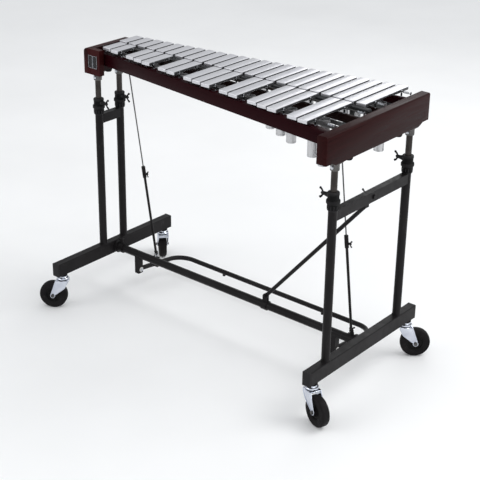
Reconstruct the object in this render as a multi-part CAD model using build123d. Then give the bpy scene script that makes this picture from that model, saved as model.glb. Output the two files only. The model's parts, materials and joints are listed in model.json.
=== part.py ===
from build123d import *
import math
import os

# Pedal-damped bar instrument on a height-adjustable rolling stand.
# Millimetres. +X runs to the bass end, +Y to the player, +Z up. The floor is Z = 0.

# Stand
BEAM_X = 550.0
BEAM_WIDTH = 30.0
BEAM_HEIGHT = 48.0
BEAM_TOP = 179.0
BEAM_HALF_LENGTH = 291.0
BEAM_WALL = 2.0
CAP_LENGTH = 6.0
BEAM_CORNER = 3.0
CAP_ROUND = 2.5
UPRIGHT_RADIUS = 13.6
UPRIGHT_BORE = 11.6
UPRIGHT_TOP = 715.0
BASS_LEGS_Y = (-195.0, 195.0)
TREBLE_LEGS_Y = (-55.0, 47.0)
CROSSBAR_DEPTH = 22.0
CROSSBAR_HEIGHT = 33.0
COLLAR_BOTTOM = 675.0
COLLAR_TOP = 733.0
COLLAR_RADIUS = 17.5
COLLAR_FLARE = 21.0
COLLAR_RING = (697.0, 709.0)
COLLAR_LIP_HEIGHT = 7.0
COLLAR_LIP = 1.5
COLLAR_BOSS_RADIUS = 8.0
COLLAR_BOSS_REACH = 29.0
SCREW_Z = 719.0
SCREW_RADIUS = 4.0
SCREW_REACH = 36.0
WING_HUB = (31.0, 44.0)
WING_HUB_RADIUS = 7.0
WING_CENTRE = 42.0
WING_SPAN = 15.0
WING_HALF_THICK = 2.2
WING_STEM_HALF = 3.5
WING_TIP_RADIUS = 6.0
LEG_TUBE_RADIUS = 10.0
LEG_TUBE_BORE = 8.5
LEG_TUBE_BOTTOM = 470.0
SOCKET_RADIUS = 14.0
SOCKET_BOTTOM = 799.0
SOCKET_PLATE = (17.0, 20.0, 3.0)
SOCKET_BOLT_RADIUS = 5.0
SOCKET_BOLT_HEAD = 4.0
TUBE_Z = 154.0
TUBE_RADIUS = 13.5
TUBE_BORE = 11.5
FLANGE_RADIUS = 22.0
FLANGE_LENGTH = 12.0
FLANGE_SLEEVE = 36.0
FLANGE_WALL = 4.0
TEE_OFFSET = 24.0
TEE_RADIUS = 3.0
TEE_BOSS_RADIUS = 7.0
TEE_BOSS_TOP = TUBE_Z + 24.0
TEE_HEAD_RADIUS = 5.5
TEE_HEAD_TOP = TEE_BOSS_TOP + 9.0
TEE_TOP = TUBE_Z + 40.0
TEE_HALF_BAR = 13.0
RUNNING = 0.05
GAP = 0.4

# Diagonal brace
BRACE_FOOT = (162.0, 0.0, 188.0)
BRACE_HEAD_Z = 658.0
BRACE_RADIUS = 6.5
BRACE_PLATE = 34.0
BRACE_EYE_RADIUS = 9.0
BRACE_HEAD_RADIUS = 10.0
BRACE_HALF_PLATE = 3.0
BRACE_HALF_LUG = 2.5
BRACE_PIN_RADIUS = 3.0
CLAMP_HALF_LENGTH = 11.0
CLAMP_WALL = 3.0
CLAMP_CHEEK = (2.6, 6.0)
BOLT_HEAD_RADIUS = 7.5
BOLT_HEAD = 5.0

# Casters: stem position, direction in which the wheel trails
STEM_Y = 259.0
CASTER_TRAIL = 35.0
WHEEL_RADIUS = 50.0
WHEEL_WIDTH = 28.0
HUB_RADIUS = 30.0
AXLE_RADIUS = 4.0
FORK_INSIDE = 17.0
FORK_PLATE = 2.5
CROWN_Z = 107.0
CROWN_THICK = 4.0
CROWN_RADIUS = 22.0
STEM_RADIUS = 17.0
RACE_RADIUS = 21.0
KING_PIN_RADIUS = 5.0
KING_PIN_HEAD = 7.5
FORK_EYE_RADIUS = 9.6
AXLE_HEX = 6.5
AXLE_HEAD = 5.0
TREAD_ROUND = 6.0
CASTERS = {
    "treble_front": (-BEAM_X, -STEM_Y, 213.0),
    "bass_front": (BEAM_X, -STEM_Y, 340.0),
    "bass_back": (BEAM_X, STEM_Y, 41.0),
    "treble_back": (-BEAM_X, STEM_Y, 138.0),
}

# Pedal and pull rods
PEDAL_X = {"treble": -425.0, "bass": 449.0}
PEDAL_PIVOT_Z = 96.0
PEDAL_REACH = 225.0
PEDAL_DROP = 28.0
PEDAL_BEND = 60.0
PEDAL_RADIUS = 8.5
ROD_PIN_Y = 90.0
ROD_PIN_Z = 108.0
SHACKLE_RISE = 14.0
ROD_TOP_Y = -32.0
ROD_TOP_Z = 868.0
LOWER_ROD_RADIUS = 4.5
UPPER_ROD_RADIUS = 2.2
SLEEVE_LOW = 443.0
SLEEVE_HIGH = 486.0
SLEEVE_RADIUS = 6.8
PEDAL_EYE_RADIUS = 9.0
PEDAL_PIN_RADIUS = 4.0
PEDAL_START = 14.0
BUMPER_X = (-211.0, 237.0)
BUMPER_RADIUS = 5.5
CHANNEL_WALL = 3.0
CHANNEL_HALF = 6.0 + GAP
PIVOT_HEX = 7.0
ROD_BRACKET_HALF = 10.5
ROD_BRACKET_SLOT = 4.5
SHACKLE_HALF = 2.0
SHACKLE_PIN = 2.0
ROD_PIN_RADIUS = 2.5
THUMBSCREW_RADIUS = 2.5
UPPER_ROD_BOTTOM = 340.0
EYE_RADIUS = 6.4
EYE_BORE = 4.0

# Keyboard frame
# The panels' undersides are cut up by PANEL_STEP outside the legs
PANEL_INNER = 533.5
PANEL_OUTER = 568.7
PANEL_TOP = 919.0
PANEL_BOTTOM = 824.0
PANEL_STEP = 6.0
BASS_PANEL_Y = (-264.0, 267.0)
TREBLE_PANEL_Y = (-99.0, 90.0)
RAIL_BOTTOM = 863.0
RAIL_TOP = 905.0
INNER_RAIL_BOTTOM = 880.0
CORNER_BLOCK_X = -494.0
CORNER_BLOCK_DEPTH = 22.0
CORNER_ROUND = 9.0
TOP_CHAMFER = 3.0

# Rails: Y of the cord line at the treble and bass panels, and the board edges beside it
AUDIENCE_CORD = (-48.0, -184.0)
AUDIENCE_EDGES = (-21.0, 6.0)
ACC_INNER_CORD = (-4.0, -35.0)
NAT_INNER_CORD = (42.0, 70.0)
INNER_EDGES = (-6.0, 6.0)
PLAYER_CORD = (83.0, 215.0)
PLAYER_EDGES = (-8.0, 7.0)

# Bars
BAR_TOP = 926.6
BAR_THICK = 10.0
BAR_WIDTH = 35.5
BAR_CORNER = 4.0
ARCHED_FROM = 120.0
NATURALS = 24
NATURAL_PITCH = 42.7
NATURAL_FIRST_X = -502.8
NATURAL_FRONT_Y = 23.0
ACC_PITCH = 42.19
ACC_FIRST_X = -509.0
ACC_BACK_Y = 13.0
ACC_FRONT_Y = (-64.0, -225.0)
CORD_RADIUS = 1.9
CORD_Z = BAR_TOP - BAR_THICK / 2
POST_RADIUS = 2.4
POST_ABOVE_CORD = 3.5
# Steps between neighbouring naturals, from the treble, that carry an accidental
OCTAVE_GAPS = (0.5, 1.5, 3.5, 4.5, 5.5)
ACCIDENTALS = [7 * o + g for o in range(4) for g in OCTAVE_GAPS if 7 * o + g < NATURALS - 1]

# Resonators
RESONATOR_TOP = 901.0
RESONATOR_RADIUS = (11.5, 16.5)
RESONATOR_WALL = 1.2
NAT_RESONATOR_Y = (61.3, 140.0)
ACC_RESONATOR_Y = (-27.0, -106.0)
SHORTEST_RESONATOR = 24.0
SOUND_SPEED = 343000.0
LOWEST_HZ = 523.25
RESONATOR_FLOOR = 2.0
RESONATOR_RAIL = (RESONATOR_TOP - 16, RESONATOR_TOP - 3)
RESONATOR_RAIL_THICK = 1.4
RESONATOR_GAP = 0.3

# Damper
DAMPER_Y = 19.0
DAMPER_FELT_TOP = BAR_TOP - BAR_THICK - GAP
DAMPER_X = 515.0
DAMPER_HALF_BAR = 12.0
FELT_HALF = 11.0
FELT_THICK = 7.0
DAMPER_BAR_THICK = 4.0
PULL_ARM = (3.0, 6.0)
DAMPER_PIN_RADIUS = 1.9

parts = {}


def keep(name, *solids):
    """Files the solids under one node name."""
    parts.setdefault(name, []).extend(solids)


def cylinder_z(x, y, low, high, radius, bore=0.0):
    body = Pos(x, y, (low + high) / 2) * Cylinder(radius, high - low)
    if bore:
        body -= Pos(x, y, (low + high) / 2) * Cylinder(bore, high - low + 1)
    return body


def cylinder_x(low, high, y, z, radius, bore=0.0):
    place = Pos((low + high) / 2, y, z) * Rot(0, 90, 0)
    body = place * Cylinder(radius, high - low)
    if bore:
        body -= place * Cylinder(bore, high - low + 1)
    return body


def cylinder_y(x, low, high, z, radius, bore=0.0):
    place = Pos(x, (low + high) / 2, z) * Rot(90, 0, 0)
    body = place * Cylinder(radius, high - low)
    if bore:
        body -= place * Cylinder(bore, high - low + 1)
    return body


def block(x0, x1, y0, y1, z0, z1):
    return Pos((x0 + x1) / 2, (y0 + y1) / 2, (z0 + z1) / 2) * Box(x1 - x0, y1 - y0, z1 - z0)


def rod_between(a, b, radius):
    """A round bar from point a to point b."""
    start, end = Vector(*a), Vector(*b)
    plane = Plane(origin=(start + end) / 2, z_dir=end - start)
    return plane * Cylinder(radius, (end - start).length)


def along(ends, x):
    """Y of a straight line across the keyboard, given its Y at the two panels."""
    share = (x + PANEL_INNER) / (2 * PANEL_INNER)
    return ends[0] + (ends[1] - ends[0]) * share


def slanted_board(line, edges, z0, z1):
    """A board from panel to panel that follows a cord line."""
    x = PANEL_INNER
    outline = Polyline(
        (-x, line[0] + edges[0]), (x, line[1] + edges[0]),
        (x, line[1] + edges[1]), (-x, line[0] + edges[1]), close=True,
    )
    return Pos(0, 0, z0) * extrude(make_face(outline), z1 - z0)


# Feet and legs


def foot_beams():
    for end, sign in (("treble", -1), ("bass", 1)):
        x = sign * BEAM_X
        half, low = BEAM_WIDTH / 2, BEAM_TOP - BEAM_HEIGHT
        y = BEAM_HALF_LENGTH - CAP_LENGTH
        beam = block(x - half, x + half, -y, y, low, BEAM_TOP)
        beam = fillet(beam.edges().filter_by(Axis.Y), BEAM_CORNER)
        beam -= block(x - half + BEAM_WALL, x + half - BEAM_WALL, -y - 1, y + 1,
                      low + BEAM_WALL, BEAM_TOP - BEAM_WALL)
        keep(f"foot_beam_{end}", beam)
        for side in (-1, 1):
            y0, y1 = sorted((side * y, side * BEAM_HALF_LENGTH))
            cap = block(x - half, x + half, y0, y1, low, BEAM_TOP)
            outer = cap.faces().sort_by(Axis.Y)[-1 if side > 0 else 0]
            keep("beam_end_caps", fillet(outer.edges(), CAP_ROUND))


def leg_frames():
    for sign, legs in ((-1, TREBLE_LEGS_Y), (1, BASS_LEGS_Y)):
        x = sign * BEAM_X
        for y in legs:
            keep("uprights", cylinder_z(x, y, BEAM_TOP, UPRIGHT_TOP, UPRIGHT_RADIUS, UPRIGHT_BORE))
            keep("height_collars", height_collar(x, y, -sign))
        low = COLLAR_BOTTOM - CROSSBAR_HEIGHT
        bar = block(x - CROSSBAR_DEPTH / 2, x + CROSSBAR_DEPTH / 2, legs[0], legs[1],
                    low, COLLAR_BOTTOM)
        for y in legs:
            bar -= cylinder_z(x, y, low - 1, COLLAR_BOTTOM + 1, UPRIGHT_RADIUS)
        bar = bar.solids().sort_by(SortBy.VOLUME)[-1]
        if sign > 0:
            bar -= cylinder_x(x - CROSSBAR_DEPTH, x + CROSSBAR_DEPTH, 0, BRACE_HEAD_Z, SCREW_RADIUS)
        keep("crossbars", bar)


def height_collar(x, y, inward):
    """Clamp collar over the top of an upright; its boss points along the keyboard."""
    collar = cylinder_z(x, y, COLLAR_BOTTOM, COLLAR_TOP, COLLAR_RADIUS)
    collar += cylinder_z(x, y, *COLLAR_RING, COLLAR_FLARE)
    collar += cylinder_z(x, y, COLLAR_TOP - COLLAR_LIP_HEIGHT, COLLAR_TOP, COLLAR_RADIUS + COLLAR_LIP)
    reach = sorted((x, x + inward * COLLAR_BOSS_REACH))
    collar += cylinder_x(*reach, y, SCREW_Z, COLLAR_BOSS_RADIUS)
    collar -= cylinder_z(x, y, COLLAR_BOTTOM - 1, UPRIGHT_TOP, UPRIGHT_RADIUS)
    collar -= cylinder_z(x, y, UPRIGHT_TOP - 1, COLLAR_TOP + 1, LEG_TUBE_RADIUS + RUNNING)
    collar -= cylinder_x(*sorted((x, x + inward * 40)), y, SCREW_Z, SCREW_RADIUS + RUNNING)
    return collar


def wing_screws():
    for end, legs, sign in (("treble", TREBLE_LEGS_Y, -1), ("bass", BASS_LEGS_Y, 1)):
        for side, y in zip(("front", "back"), legs):
            x, inward = sign * BEAM_X, -sign
            tip = x + inward * (LEG_TUBE_RADIUS + GAP)
            screw = cylinder_x(*sorted((tip, x + inward * SCREW_REACH)), y, SCREW_Z, SCREW_RADIUS)
            ends = sorted(x + inward * reach for reach in WING_HUB)
            screw += cylinder_x(*ends, y, SCREW_Z, WING_HUB_RADIUS)
            screw += wings(x + inward * WING_CENTRE, y, SCREW_Z)
            keep(f"wing_screw_{end}_{side}", screw)


def wings(x, y, z):
    """Two rounded ears of a wing screw whose axis runs along X."""
    x0, x1 = x - WING_HALF_THICK, x + WING_HALF_THICK
    y0, y1 = y - WING_STEM_HALF, y + WING_STEM_HALF
    ears = None
    for side in (-1, 1):
        stem = block(x0, x1, y0, y1, *sorted((z, z + side * WING_SPAN)))
        tip = cylinder_x(x0, x1, y, z + side * WING_SPAN, WING_TIP_RADIUS)
        ears = stem + tip if ears is None else ears + stem + tip
    return ears


def stretcher():
    """The tube that joins the two feet, with its flanges and their tee bolts."""
    x = BEAM_X - BEAM_WIDTH / 2
    keep("cross_tube", cylinder_x(-x, x, 0, TUBE_Z, TUBE_RADIUS, TUBE_BORE))
    for end, sign in (("treble", -1), ("bass", 1)):
        near, far = sign * x, sign * (x - FLANGE_SLEEVE)
        disc = cylinder_x(*sorted((near, sign * (x - FLANGE_LENGTH))), 0, TUBE_Z, FLANGE_RADIUS)
        sleeve = cylinder_x(*sorted((near, far)), 0, TUBE_Z, TUBE_RADIUS + FLANGE_WALL)
        bolt_x = sign * (x - TEE_OFFSET)
        boss = cylinder_z(bolt_x, 0, TUBE_Z, TEE_BOSS_TOP, TEE_BOSS_RADIUS)
        flange = disc + sleeve + boss
        flange -= cylinder_x(-x - 1, x + 1, 0, TUBE_Z, TUBE_RADIUS)
        flange -= cylinder_z(bolt_x, 0, TUBE_Z, TEE_TOP, TEE_RADIUS + RUNNING)
        keep("cross_tube_flanges", flange)
        shank = cylinder_z(bolt_x, 0, TUBE_Z + TUBE_RADIUS + GAP, TEE_TOP, TEE_RADIUS)
        head = cylinder_z(bolt_x, 0, TEE_BOSS_TOP + 1, TEE_HEAD_TOP, TEE_HEAD_RADIUS)
        bar = cylinder_y(bolt_x, -TEE_HALF_BAR, TEE_HALF_BAR, TEE_TOP - 2, TEE_RADIUS)
        keep(f"tee_bolt_{end}", shank + head + bar)


def brace():
    foot_x, _, foot_z = BRACE_FOOT
    half, lug_half = BRACE_HALF_PLATE, BRACE_HALF_LUG
    head_x = BEAM_X - CROSSBAR_DEPTH / 2 - half
    join_z = BRACE_HEAD_Z - BRACE_PLATE
    tube = rod_between(BRACE_FOOT, (head_x, 0, join_z), BRACE_RADIUS)
    tube -= block(head_x + half, BEAM_X + 40, -30, 30, join_z - 60, BRACE_HEAD_Z + 60)
    # The foot of the tube is pressed flat to fit between the clamp's cheeks
    for side in (-1, 1):
        y0, y1 = sorted((side * lug_half, side * 30))
        tube -= block(foot_x - 30, foot_x + 14, y0, y1, foot_z - 30, foot_z + 14)
    wide = BRACE_HEAD_RADIUS
    plate = block(head_x - half, head_x + half, -wide, wide, join_z - 8, BRACE_HEAD_Z)
    plate += cylinder_x(head_x - half, head_x + half, 0, BRACE_HEAD_Z, wide)
    lug = cylinder_y(foot_x, -lug_half, lug_half, foot_z, BRACE_EYE_RADIUS)
    bar = tube + plate + lug
    bar -= cylinder_x(head_x - 30, head_x + 30, 0, BRACE_HEAD_Z, SCREW_RADIUS)
    bar -= cylinder_y(foot_x, -10, 10, foot_z, BRACE_PIN_RADIUS)
    keep("diagonal_brace", bar.solids().sort_by(SortBy.VOLUME)[-1])

    length, eye = CLAMP_HALF_LENGTH, BRACE_EYE_RADIUS
    band = cylinder_x(foot_x - length, foot_x + length, 0, TUBE_Z, TUBE_RADIUS + CLAMP_WALL)
    for side in (-1, 1):
        y0, y1 = sorted(side * edge for edge in CLAMP_CHEEK)
        band += block(foot_x - eye, foot_x + eye, y0, y1, TUBE_Z + 10, foot_z)
        band += cylinder_y(foot_x, y0, y1, foot_z, eye)
    slot = CLAMP_CHEEK[0]
    band -= block(foot_x - 20, foot_x + 20, -slot, slot, TUBE_Z, TUBE_Z + 60)
    band -= cylinder_x(foot_x - 12, foot_x + 12, 0, TUBE_Z, TUBE_RADIUS)
    band -= cylinder_y(foot_x, -10, 10, foot_z, BRACE_PIN_RADIUS)
    keep("brace_clamp", band)

    cheek = CLAMP_CHEEK[1]
    pin = cylinder_y(foot_x, -cheek, cheek, foot_z, BRACE_PIN_RADIUS)
    for side in (-1, 1):
        y0, y1 = sorted((side * cheek, side * (cheek + 4)))
        pin += cylinder_y(foot_x, y0, y1, foot_z, TEE_HEAD_RADIUS)
    outer = BEAM_X + CROSSBAR_DEPTH / 2
    bolt = cylinder_x(outer, outer + BOLT_HEAD, 0, BRACE_HEAD_Z, BOLT_HEAD_RADIUS)
    bolt += cylinder_x(head_x - 19, outer, 0, BRACE_HEAD_Z, SCREW_RADIUS)
    keep("stand_bolts", pin, bolt)
    nut = cylinder_x(head_x - 14, head_x - half - GAP, 0, BRACE_HEAD_Z, WING_HUB_RADIUS)
    nut += wings(head_x - 11, 0, BRACE_HEAD_Z)
    nut -= cylinder_x(head_x - 30, head_x, 0, BRACE_HEAD_Z, SCREW_RADIUS + RUNNING)
    keep("brace_wing_nut", nut)


# Casters


def casters():
    for name, (x, y, heading) in CASTERS.items():
        race = CROWN_Z + 9
        stem = cylinder_z(x, y, race, BEAM_TOP - BEAM_HEIGHT, STEM_RADIUS)
        stem += cylinder_z(x, y, race, race + 5, RACE_RADIUS)
        stem += cylinder_z(x, y, CROWN_Z - 3, race, KING_PIN_RADIUS)
        stem += cylinder_z(x, y, CROWN_Z - 3, CROWN_Z - GAP, KING_PIN_HEAD)
        keep("caster_stems", stem)
        turn = Pos(x, y, 0) * Rot(0, 0, heading)
        keep(f"caster_fork_{name}", *(turn * piece for piece in fork()))
        wheel = turn * Pos(CASTER_TRAIL, 0, WHEEL_RADIUS) * Rot(90, 0, 0)
        keep(f"caster_tyre_{name}", wheel * tyre())
        keep(f"caster_hub_{name}", wheel * hub())


def fork():
    """Fork and axle bolt of a caster that trails along +X, its stem at the origin."""
    crown = cylinder_z(0, 0, CROWN_Z, CROWN_Z + CROWN_THICK, CROWN_RADIUS)
    crown += block(0, 20, -FORK_INSIDE - FORK_PLATE, FORK_INSIDE + FORK_PLATE,
                   CROWN_Z, CROWN_Z + CROWN_THICK)
    outline = Polyline(
        (-17, CROWN_Z + CROWN_THICK), (21, CROWN_Z + CROWN_THICK),
        (CASTER_TRAIL + 9.5, WHEEL_RADIUS), (CASTER_TRAIL - 9.5, WHEEL_RADIUS), close=True,
    )
    profile = make_face(Plane.XZ * outline)
    profile += Plane.XZ * Pos(CASTER_TRAIL, WHEEL_RADIUS) * Circle(FORK_EYE_RADIUS)
    legs = None
    for side in (-1, 1):
        inner = side * FORK_INSIDE
        leg = Pos(0, inner, 0) * extrude(profile, side * FORK_PLATE, dir=(0, 1, 0))
        legs = leg if legs is None else legs + leg
    crown += legs
    crown -= cylinder_z(0, 0, CROWN_Z - 10, CROWN_Z + 10, KING_PIN_RADIUS + RUNNING)
    edge = FORK_INSIDE + FORK_PLATE
    crown -= cylinder_y(CASTER_TRAIL, -edge - 1, edge + 1, WHEEL_RADIUS, AXLE_RADIUS)
    axle = cylinder_y(CASTER_TRAIL, -edge, edge, WHEEL_RADIUS, AXLE_RADIUS)
    for side in (-1, 1):
        head = Rot(90, 0, 0) * hexagon(AXLE_HEX, AXLE_HEAD)
        axle += Pos(CASTER_TRAIL, side * (edge + AXLE_HEAD / 2), WHEEL_RADIUS) * head
    return crown, axle


def hexagon(radius, height):
    return Pos(0, 0, -height / 2) * extrude(RegularPolygon(radius, 6), height)


def tyre():
    """Rubber tyre on the Z axis, its tread rounded at both shoulders."""
    ring = Cylinder(WHEEL_RADIUS, WHEEL_WIDTH)
    ring = fillet(ring.edges(), TREAD_ROUND)
    return ring - Cylinder(HUB_RADIUS, WHEEL_WIDTH + 1)


def hub():
    wheel = Cylinder(HUB_RADIUS, WHEEL_WIDTH - 4) + Cylinder(10.0, 2 * FORK_INSIDE - 2 * GAP)
    for side in (-1, 1):
        recess = Pos(0, 0, side * (WHEEL_WIDTH / 2 - 2)) * (Cylinder(25, 8) - Cylinder(13, 8))
        wheel -= recess
    return wheel - Cylinder(AXLE_RADIUS + RUNNING, 60)


# Pedal and pull rods


def pedal_level(y):
    return PEDAL_PIVOT_Z - PEDAL_DROP * y / PEDAL_REACH


def pedal():
    left, right = PEDAL_X["treble"], PEDAL_X["bass"]
    near, far = PEDAL_START, PEDAL_REACH
    path = FilletPolyline(
        (left, near, pedal_level(near)), (left, far, pedal_level(far)),
        (right, far, pedal_level(far)), (right, near, pedal_level(near)), radius=PEDAL_BEND,
    )
    start = Plane(origin=path @ 0, z_dir=path % 0)
    tube = sweep(start * Circle(PEDAL_RADIUS), path=path)
    for x in (left, right):
        tube += cylinder_x(x - 6, x + 6, 0, PEDAL_PIVOT_Z, PEDAL_EYE_RADIUS)
        tube += block(x - 4, x + 4, 0, 24, PEDAL_PIVOT_Z - 7, PEDAL_PIVOT_Z + 5)
        tube -= cylinder_x(x - 20, x + 20, 0, PEDAL_PIVOT_Z, PEDAL_PIN_RADIUS + RUNNING)
    keep("pedal_tube", tube)
    for x in BUMPER_X:
        low = pedal_level(far) - PEDAL_RADIUS
        bumper = cylinder_z(x, far, low - 6, low + 2, BUMPER_RADIUS)
        bumper -= cylinder_x(x - 9, x + 9, far, pedal_level(far), PEDAL_RADIUS)
        keep("pedal_bumpers", bumper)
    for end, x in PEDAL_X.items():
        pedal_support(x)
        rod_links(end, x)


def pedal_support(x):
    """Channel that hangs from the cross tube and carries one pedal pivot."""
    low, inner = PEDAL_PIVOT_Z - 14, CHANNEL_HALF
    edge = inner + CHANNEL_WALL
    channel = block(x - edge, x + edge, -13, 9, low, TUBE_Z)
    channel -= block(x - inner, x + inner, -10, 20, low - 1, TUBE_Z - TUBE_RADIUS - 3)
    channel -= cylinder_x(x - 30, x + 30, 0, TUBE_Z, TUBE_RADIUS)
    channel -= cylinder_x(x - 30, x + 30, 0, PEDAL_PIVOT_Z, PEDAL_PIN_RADIUS)
    channel = channel.solids().sort_by(Axis.Z)[0]
    keep("pedal_brackets", channel)
    bolt = cylinder_x(x - edge, x + edge, 0, PEDAL_PIVOT_Z, PEDAL_PIN_RADIUS)
    for side in (-1, 1):
        head = Rot(0, 90, 0) * hexagon(PIVOT_HEX, BOLT_HEAD)
        bolt += Pos(x + side * (edge + BOLT_HEAD / 2), 0, PEDAL_PIVOT_Z) * head
    keep("stand_bolts", bolt)


def rod_direction():
    """Unit vector up a pull rod."""
    low = Vector(0, ROD_PIN_Y, ROD_PIN_Z + SHACKLE_RISE)
    return (Vector(0, ROD_TOP_Y, ROD_TOP_Z) - low).normalized()


def on_rod(x, z):
    """The point of a pull rod's centre line at height z."""
    up = rod_direction()
    rise = z - (ROD_PIN_Z + SHACKLE_RISE)
    return (x, ROD_PIN_Y + up.Y / up.Z * rise, z)


def rod_links(end, x):
    y, z = ROD_PIN_Y, ROD_PIN_Z
    high = z + SHACKLE_RISE
    # Bracket on the pedal arm, with the pin that the shackle turns on
    arm, half, slot = pedal_level(y), ROD_BRACKET_HALF, ROD_BRACKET_SLOT
    bracket = block(x - half, x + half, y - 7, y + 7, arm - 11, z + 1)
    bracket += cylinder_x(x - half, x + half, y, z, 6.0)
    bracket -= block(x - slot, x + slot, y - 9, y + 9, arm + PEDAL_RADIUS + 2, z + 20)
    tube_start, tube_end = (x, y - 30, pedal_level(y - 30)), (x, y + 30, pedal_level(y + 30))
    bracket -= rod_between(tube_start, tube_end, PEDAL_RADIUS)
    bracket += cylinder_x(x - slot, x + slot, y, z, ROD_PIN_RADIUS)
    keep("pedal_rod_brackets", bracket)
    # Shackle: lower eye on the bracket's pin, upper pin for the rod
    x0, x1 = x - SHACKLE_HALF, x + SHACKLE_HALF
    link = cylinder_x(x0, x1, y, z, 5.0) + cylinder_x(x0, x1, y, high, 4.0)
    link += block(x0, x1, y - 3.5, y + 3.5, z, high)
    link -= cylinder_x(x - 5, x + 5, y, z, ROD_PIN_RADIUS + RUNNING)
    link += cylinder_x(x - 6.5, x + 6.5, y, high, SHACKLE_PIN)
    keep(f"rod_shackle_{end}", link)
    # Lower rod: fork, rod and the sleeve that takes the upper rod
    low_end = on_rod(x, high + 14)
    sleeve_low, sleeve_high = on_rod(x, SLEEVE_LOW), on_rod(x, SLEEVE_HIGH)
    rod = rod_between(on_rod(x, high + 10), sleeve_low, LOWER_ROD_RADIUS)
    rod += rod_between(sleeve_low, sleeve_high, SLEEVE_RADIUS)
    for side in (-1, 1):
        x0, x1 = sorted((x + side * 2.6, x + side * 5.0))
        rod += cylinder_x(x0, x1, y, high, 4.5)
        rod += block(x0, x1, y - 3.5, y + 3.5, high, high + 12)
    rod += block(x - 5, x + 5, low_end[1] - 3.5, low_end[1] + 3.5, high + 9, high + 14)
    rod -= cylinder_x(x - 9, x + 9, y, high, SHACKLE_PIN + RUNNING)
    bore_low, bore_high = on_rod(x, high + 60), on_rod(x, SLEEVE_HIGH + 4)
    rod -= rod_between(bore_low, bore_high, UPPER_ROD_RADIUS + RUNNING)
    cx, cy, cz = on_rod(x, (SLEEVE_LOW + SLEEVE_HIGH) / 2 - 5)
    rod += cylinder_x(cx + 4, cx + 11, cy, cz, 4.0)
    rod -= cylinder_x(cx + UPPER_ROD_RADIUS + 0.1, cx + 14, cy, cz, THUMBSCREW_RADIUS + RUNNING)
    keep(f"lower_rod_{end}", rod.solids().sort_by(SortBy.VOLUME)[-1])
    screw = cylinder_x(cx + UPPER_ROD_RADIUS + GAP, cx + 16, cy, cz, THUMBSCREW_RADIUS)
    screw += cylinder_x(cx + 12, cx + 18, cy, cz, 4.5)
    for side in (-1, 1):
        z0, z1 = sorted((cz, cz + side * 11))
        screw += block(cx + 13.5, cx + 16.5, cy - 2.5, cy + 2.5, z0, z1)
        screw += cylinder_x(cx + 13.5, cx + 16.5, cy, cz + side * 11, 4.0)
    keep(f"rod_thumbscrew_{end}", screw)
    # Upper rod with the open eye that hangs on the damper's pin
    top = on_rod(x, ROD_TOP_Z)
    upper = rod_between(on_rod(x, UPPER_ROD_BOTTOM), on_rod(x, ROD_TOP_Z - 4), UPPER_ROD_RADIUS)
    upper += cylinder_x(x - 1.6, x + 1.6, top[1], top[2], EYE_RADIUS)
    upper -= cylinder_x(x - 4, x + 4, top[1], top[2], EYE_BORE)
    keep(f"upper_rod_{end}", upper)


# Keyboard


def end_panels():
    low, top = PANEL_BOTTOM, PANEL_TOP
    y0, y1 = BASS_PANEL_Y
    step = PANEL_STEP
    outline = Polyline(
        (y0, low + step), (y0 + 30, low + step), (y0 + 48, low), (y1 - 50, low),
        (y1 - 32, low + step), (y1, low + step), (y1, top), (y0, top), close=True,
    )
    bass = extrude(Plane.YZ * make_face(outline), PANEL_OUTER - PANEL_INNER)
    bass = Pos(PANEL_INNER, 0, 0) * bass
    bass = chamfer(bass.edges().filter_by(Axis.Y).group_by(Axis.Z)[-1], TOP_CHAMFER)
    keep("bass_end_panel", bass)
    y0, y1 = TREBLE_PANEL_Y
    treble = block(-PANEL_OUTER, -PANEL_INNER, y0, y1, low + step, top)
    treble += block(-PANEL_OUTER, CORNER_BLOCK_X, y0, y0 + CORNER_BLOCK_DEPTH, low + step, top)
    crown = treble.edges().filter_by(Axis.Y).group_by(Axis.Z)[-1].sort_by(Axis.X)[0]
    treble = fillet(crown, CORNER_ROUND)
    # Recess for the lift handle's latch, with its middle rib
    grip = block(-547, -507, y0 - 1, y0 + 6, low + 30, top - 22)
    grip -= block(-528, -525, y0 - 2, y0 + 7, low + 20, top)
    keep("treble_end_panel", treble - grip)


def rails():
    front, back = TREBLE_PANEL_Y[0] - 41, TREBLE_PANEL_Y[0] + CORNER_BLOCK_DEPTH
    rail = slanted_board(AUDIENCE_CORD, AUDIENCE_EDGES, RAIL_BOTTOM, RAIL_TOP)
    rail -= block(-540, CORNER_BLOCK_X, front, back, RAIL_BOTTOM - 1, RAIL_TOP + 1)
    keep("audience_rail", rail)
    keep("player_rail", slanted_board(PLAYER_CORD, PLAYER_EDGES, RAIL_BOTTOM, RAIL_TOP))
    for line in (ACC_INNER_CORD, NAT_INNER_CORD):
        keep("inner_rails", slanted_board(line, INNER_EDGES, INNER_RAIL_BOTTOM, RAIL_TOP))


def natural_x(index):
    return NATURAL_FIRST_X + NATURAL_PITCH * index


def natural_back_y(index):
    share = index / (NATURALS - 1)
    return 108.3 + 117.6 * share + 31.7 * share ** 2


def accidental_x(index):
    return ACC_FIRST_X + ACC_PITCH * index


def accidental_front_y(index):
    return along(ACC_FRONT_Y, accidental_x(index))


def cord_line(ends, radius, reach=PANEL_INNER):
    x = reach
    return rod_between((-x, along(ends, -x), CORD_Z), (x, along(ends, x), CORD_Z), radius)


def bar(x, y0, y1, holes):
    length = y1 - y0
    plate = extrude(RectangleRounded(BAR_WIDTH, length, BAR_CORNER), BAR_THICK)
    plate = Pos(x, (y0 + y1) / 2, BAR_TOP - BAR_THICK) * plate
    if length > ARCHED_FROM:
        depth, half = 0.02 * length, 0.2 * length
        radius = (half ** 2 + depth ** 2) / (2 * depth)
        arch_z = BAR_TOP - BAR_THICK + depth - radius
        plate -= cylinder_x(x - 30, x + 30, (y0 + y1) / 2, arch_z, radius)
    for hole in holes:
        plate -= hole
    return plate


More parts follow.
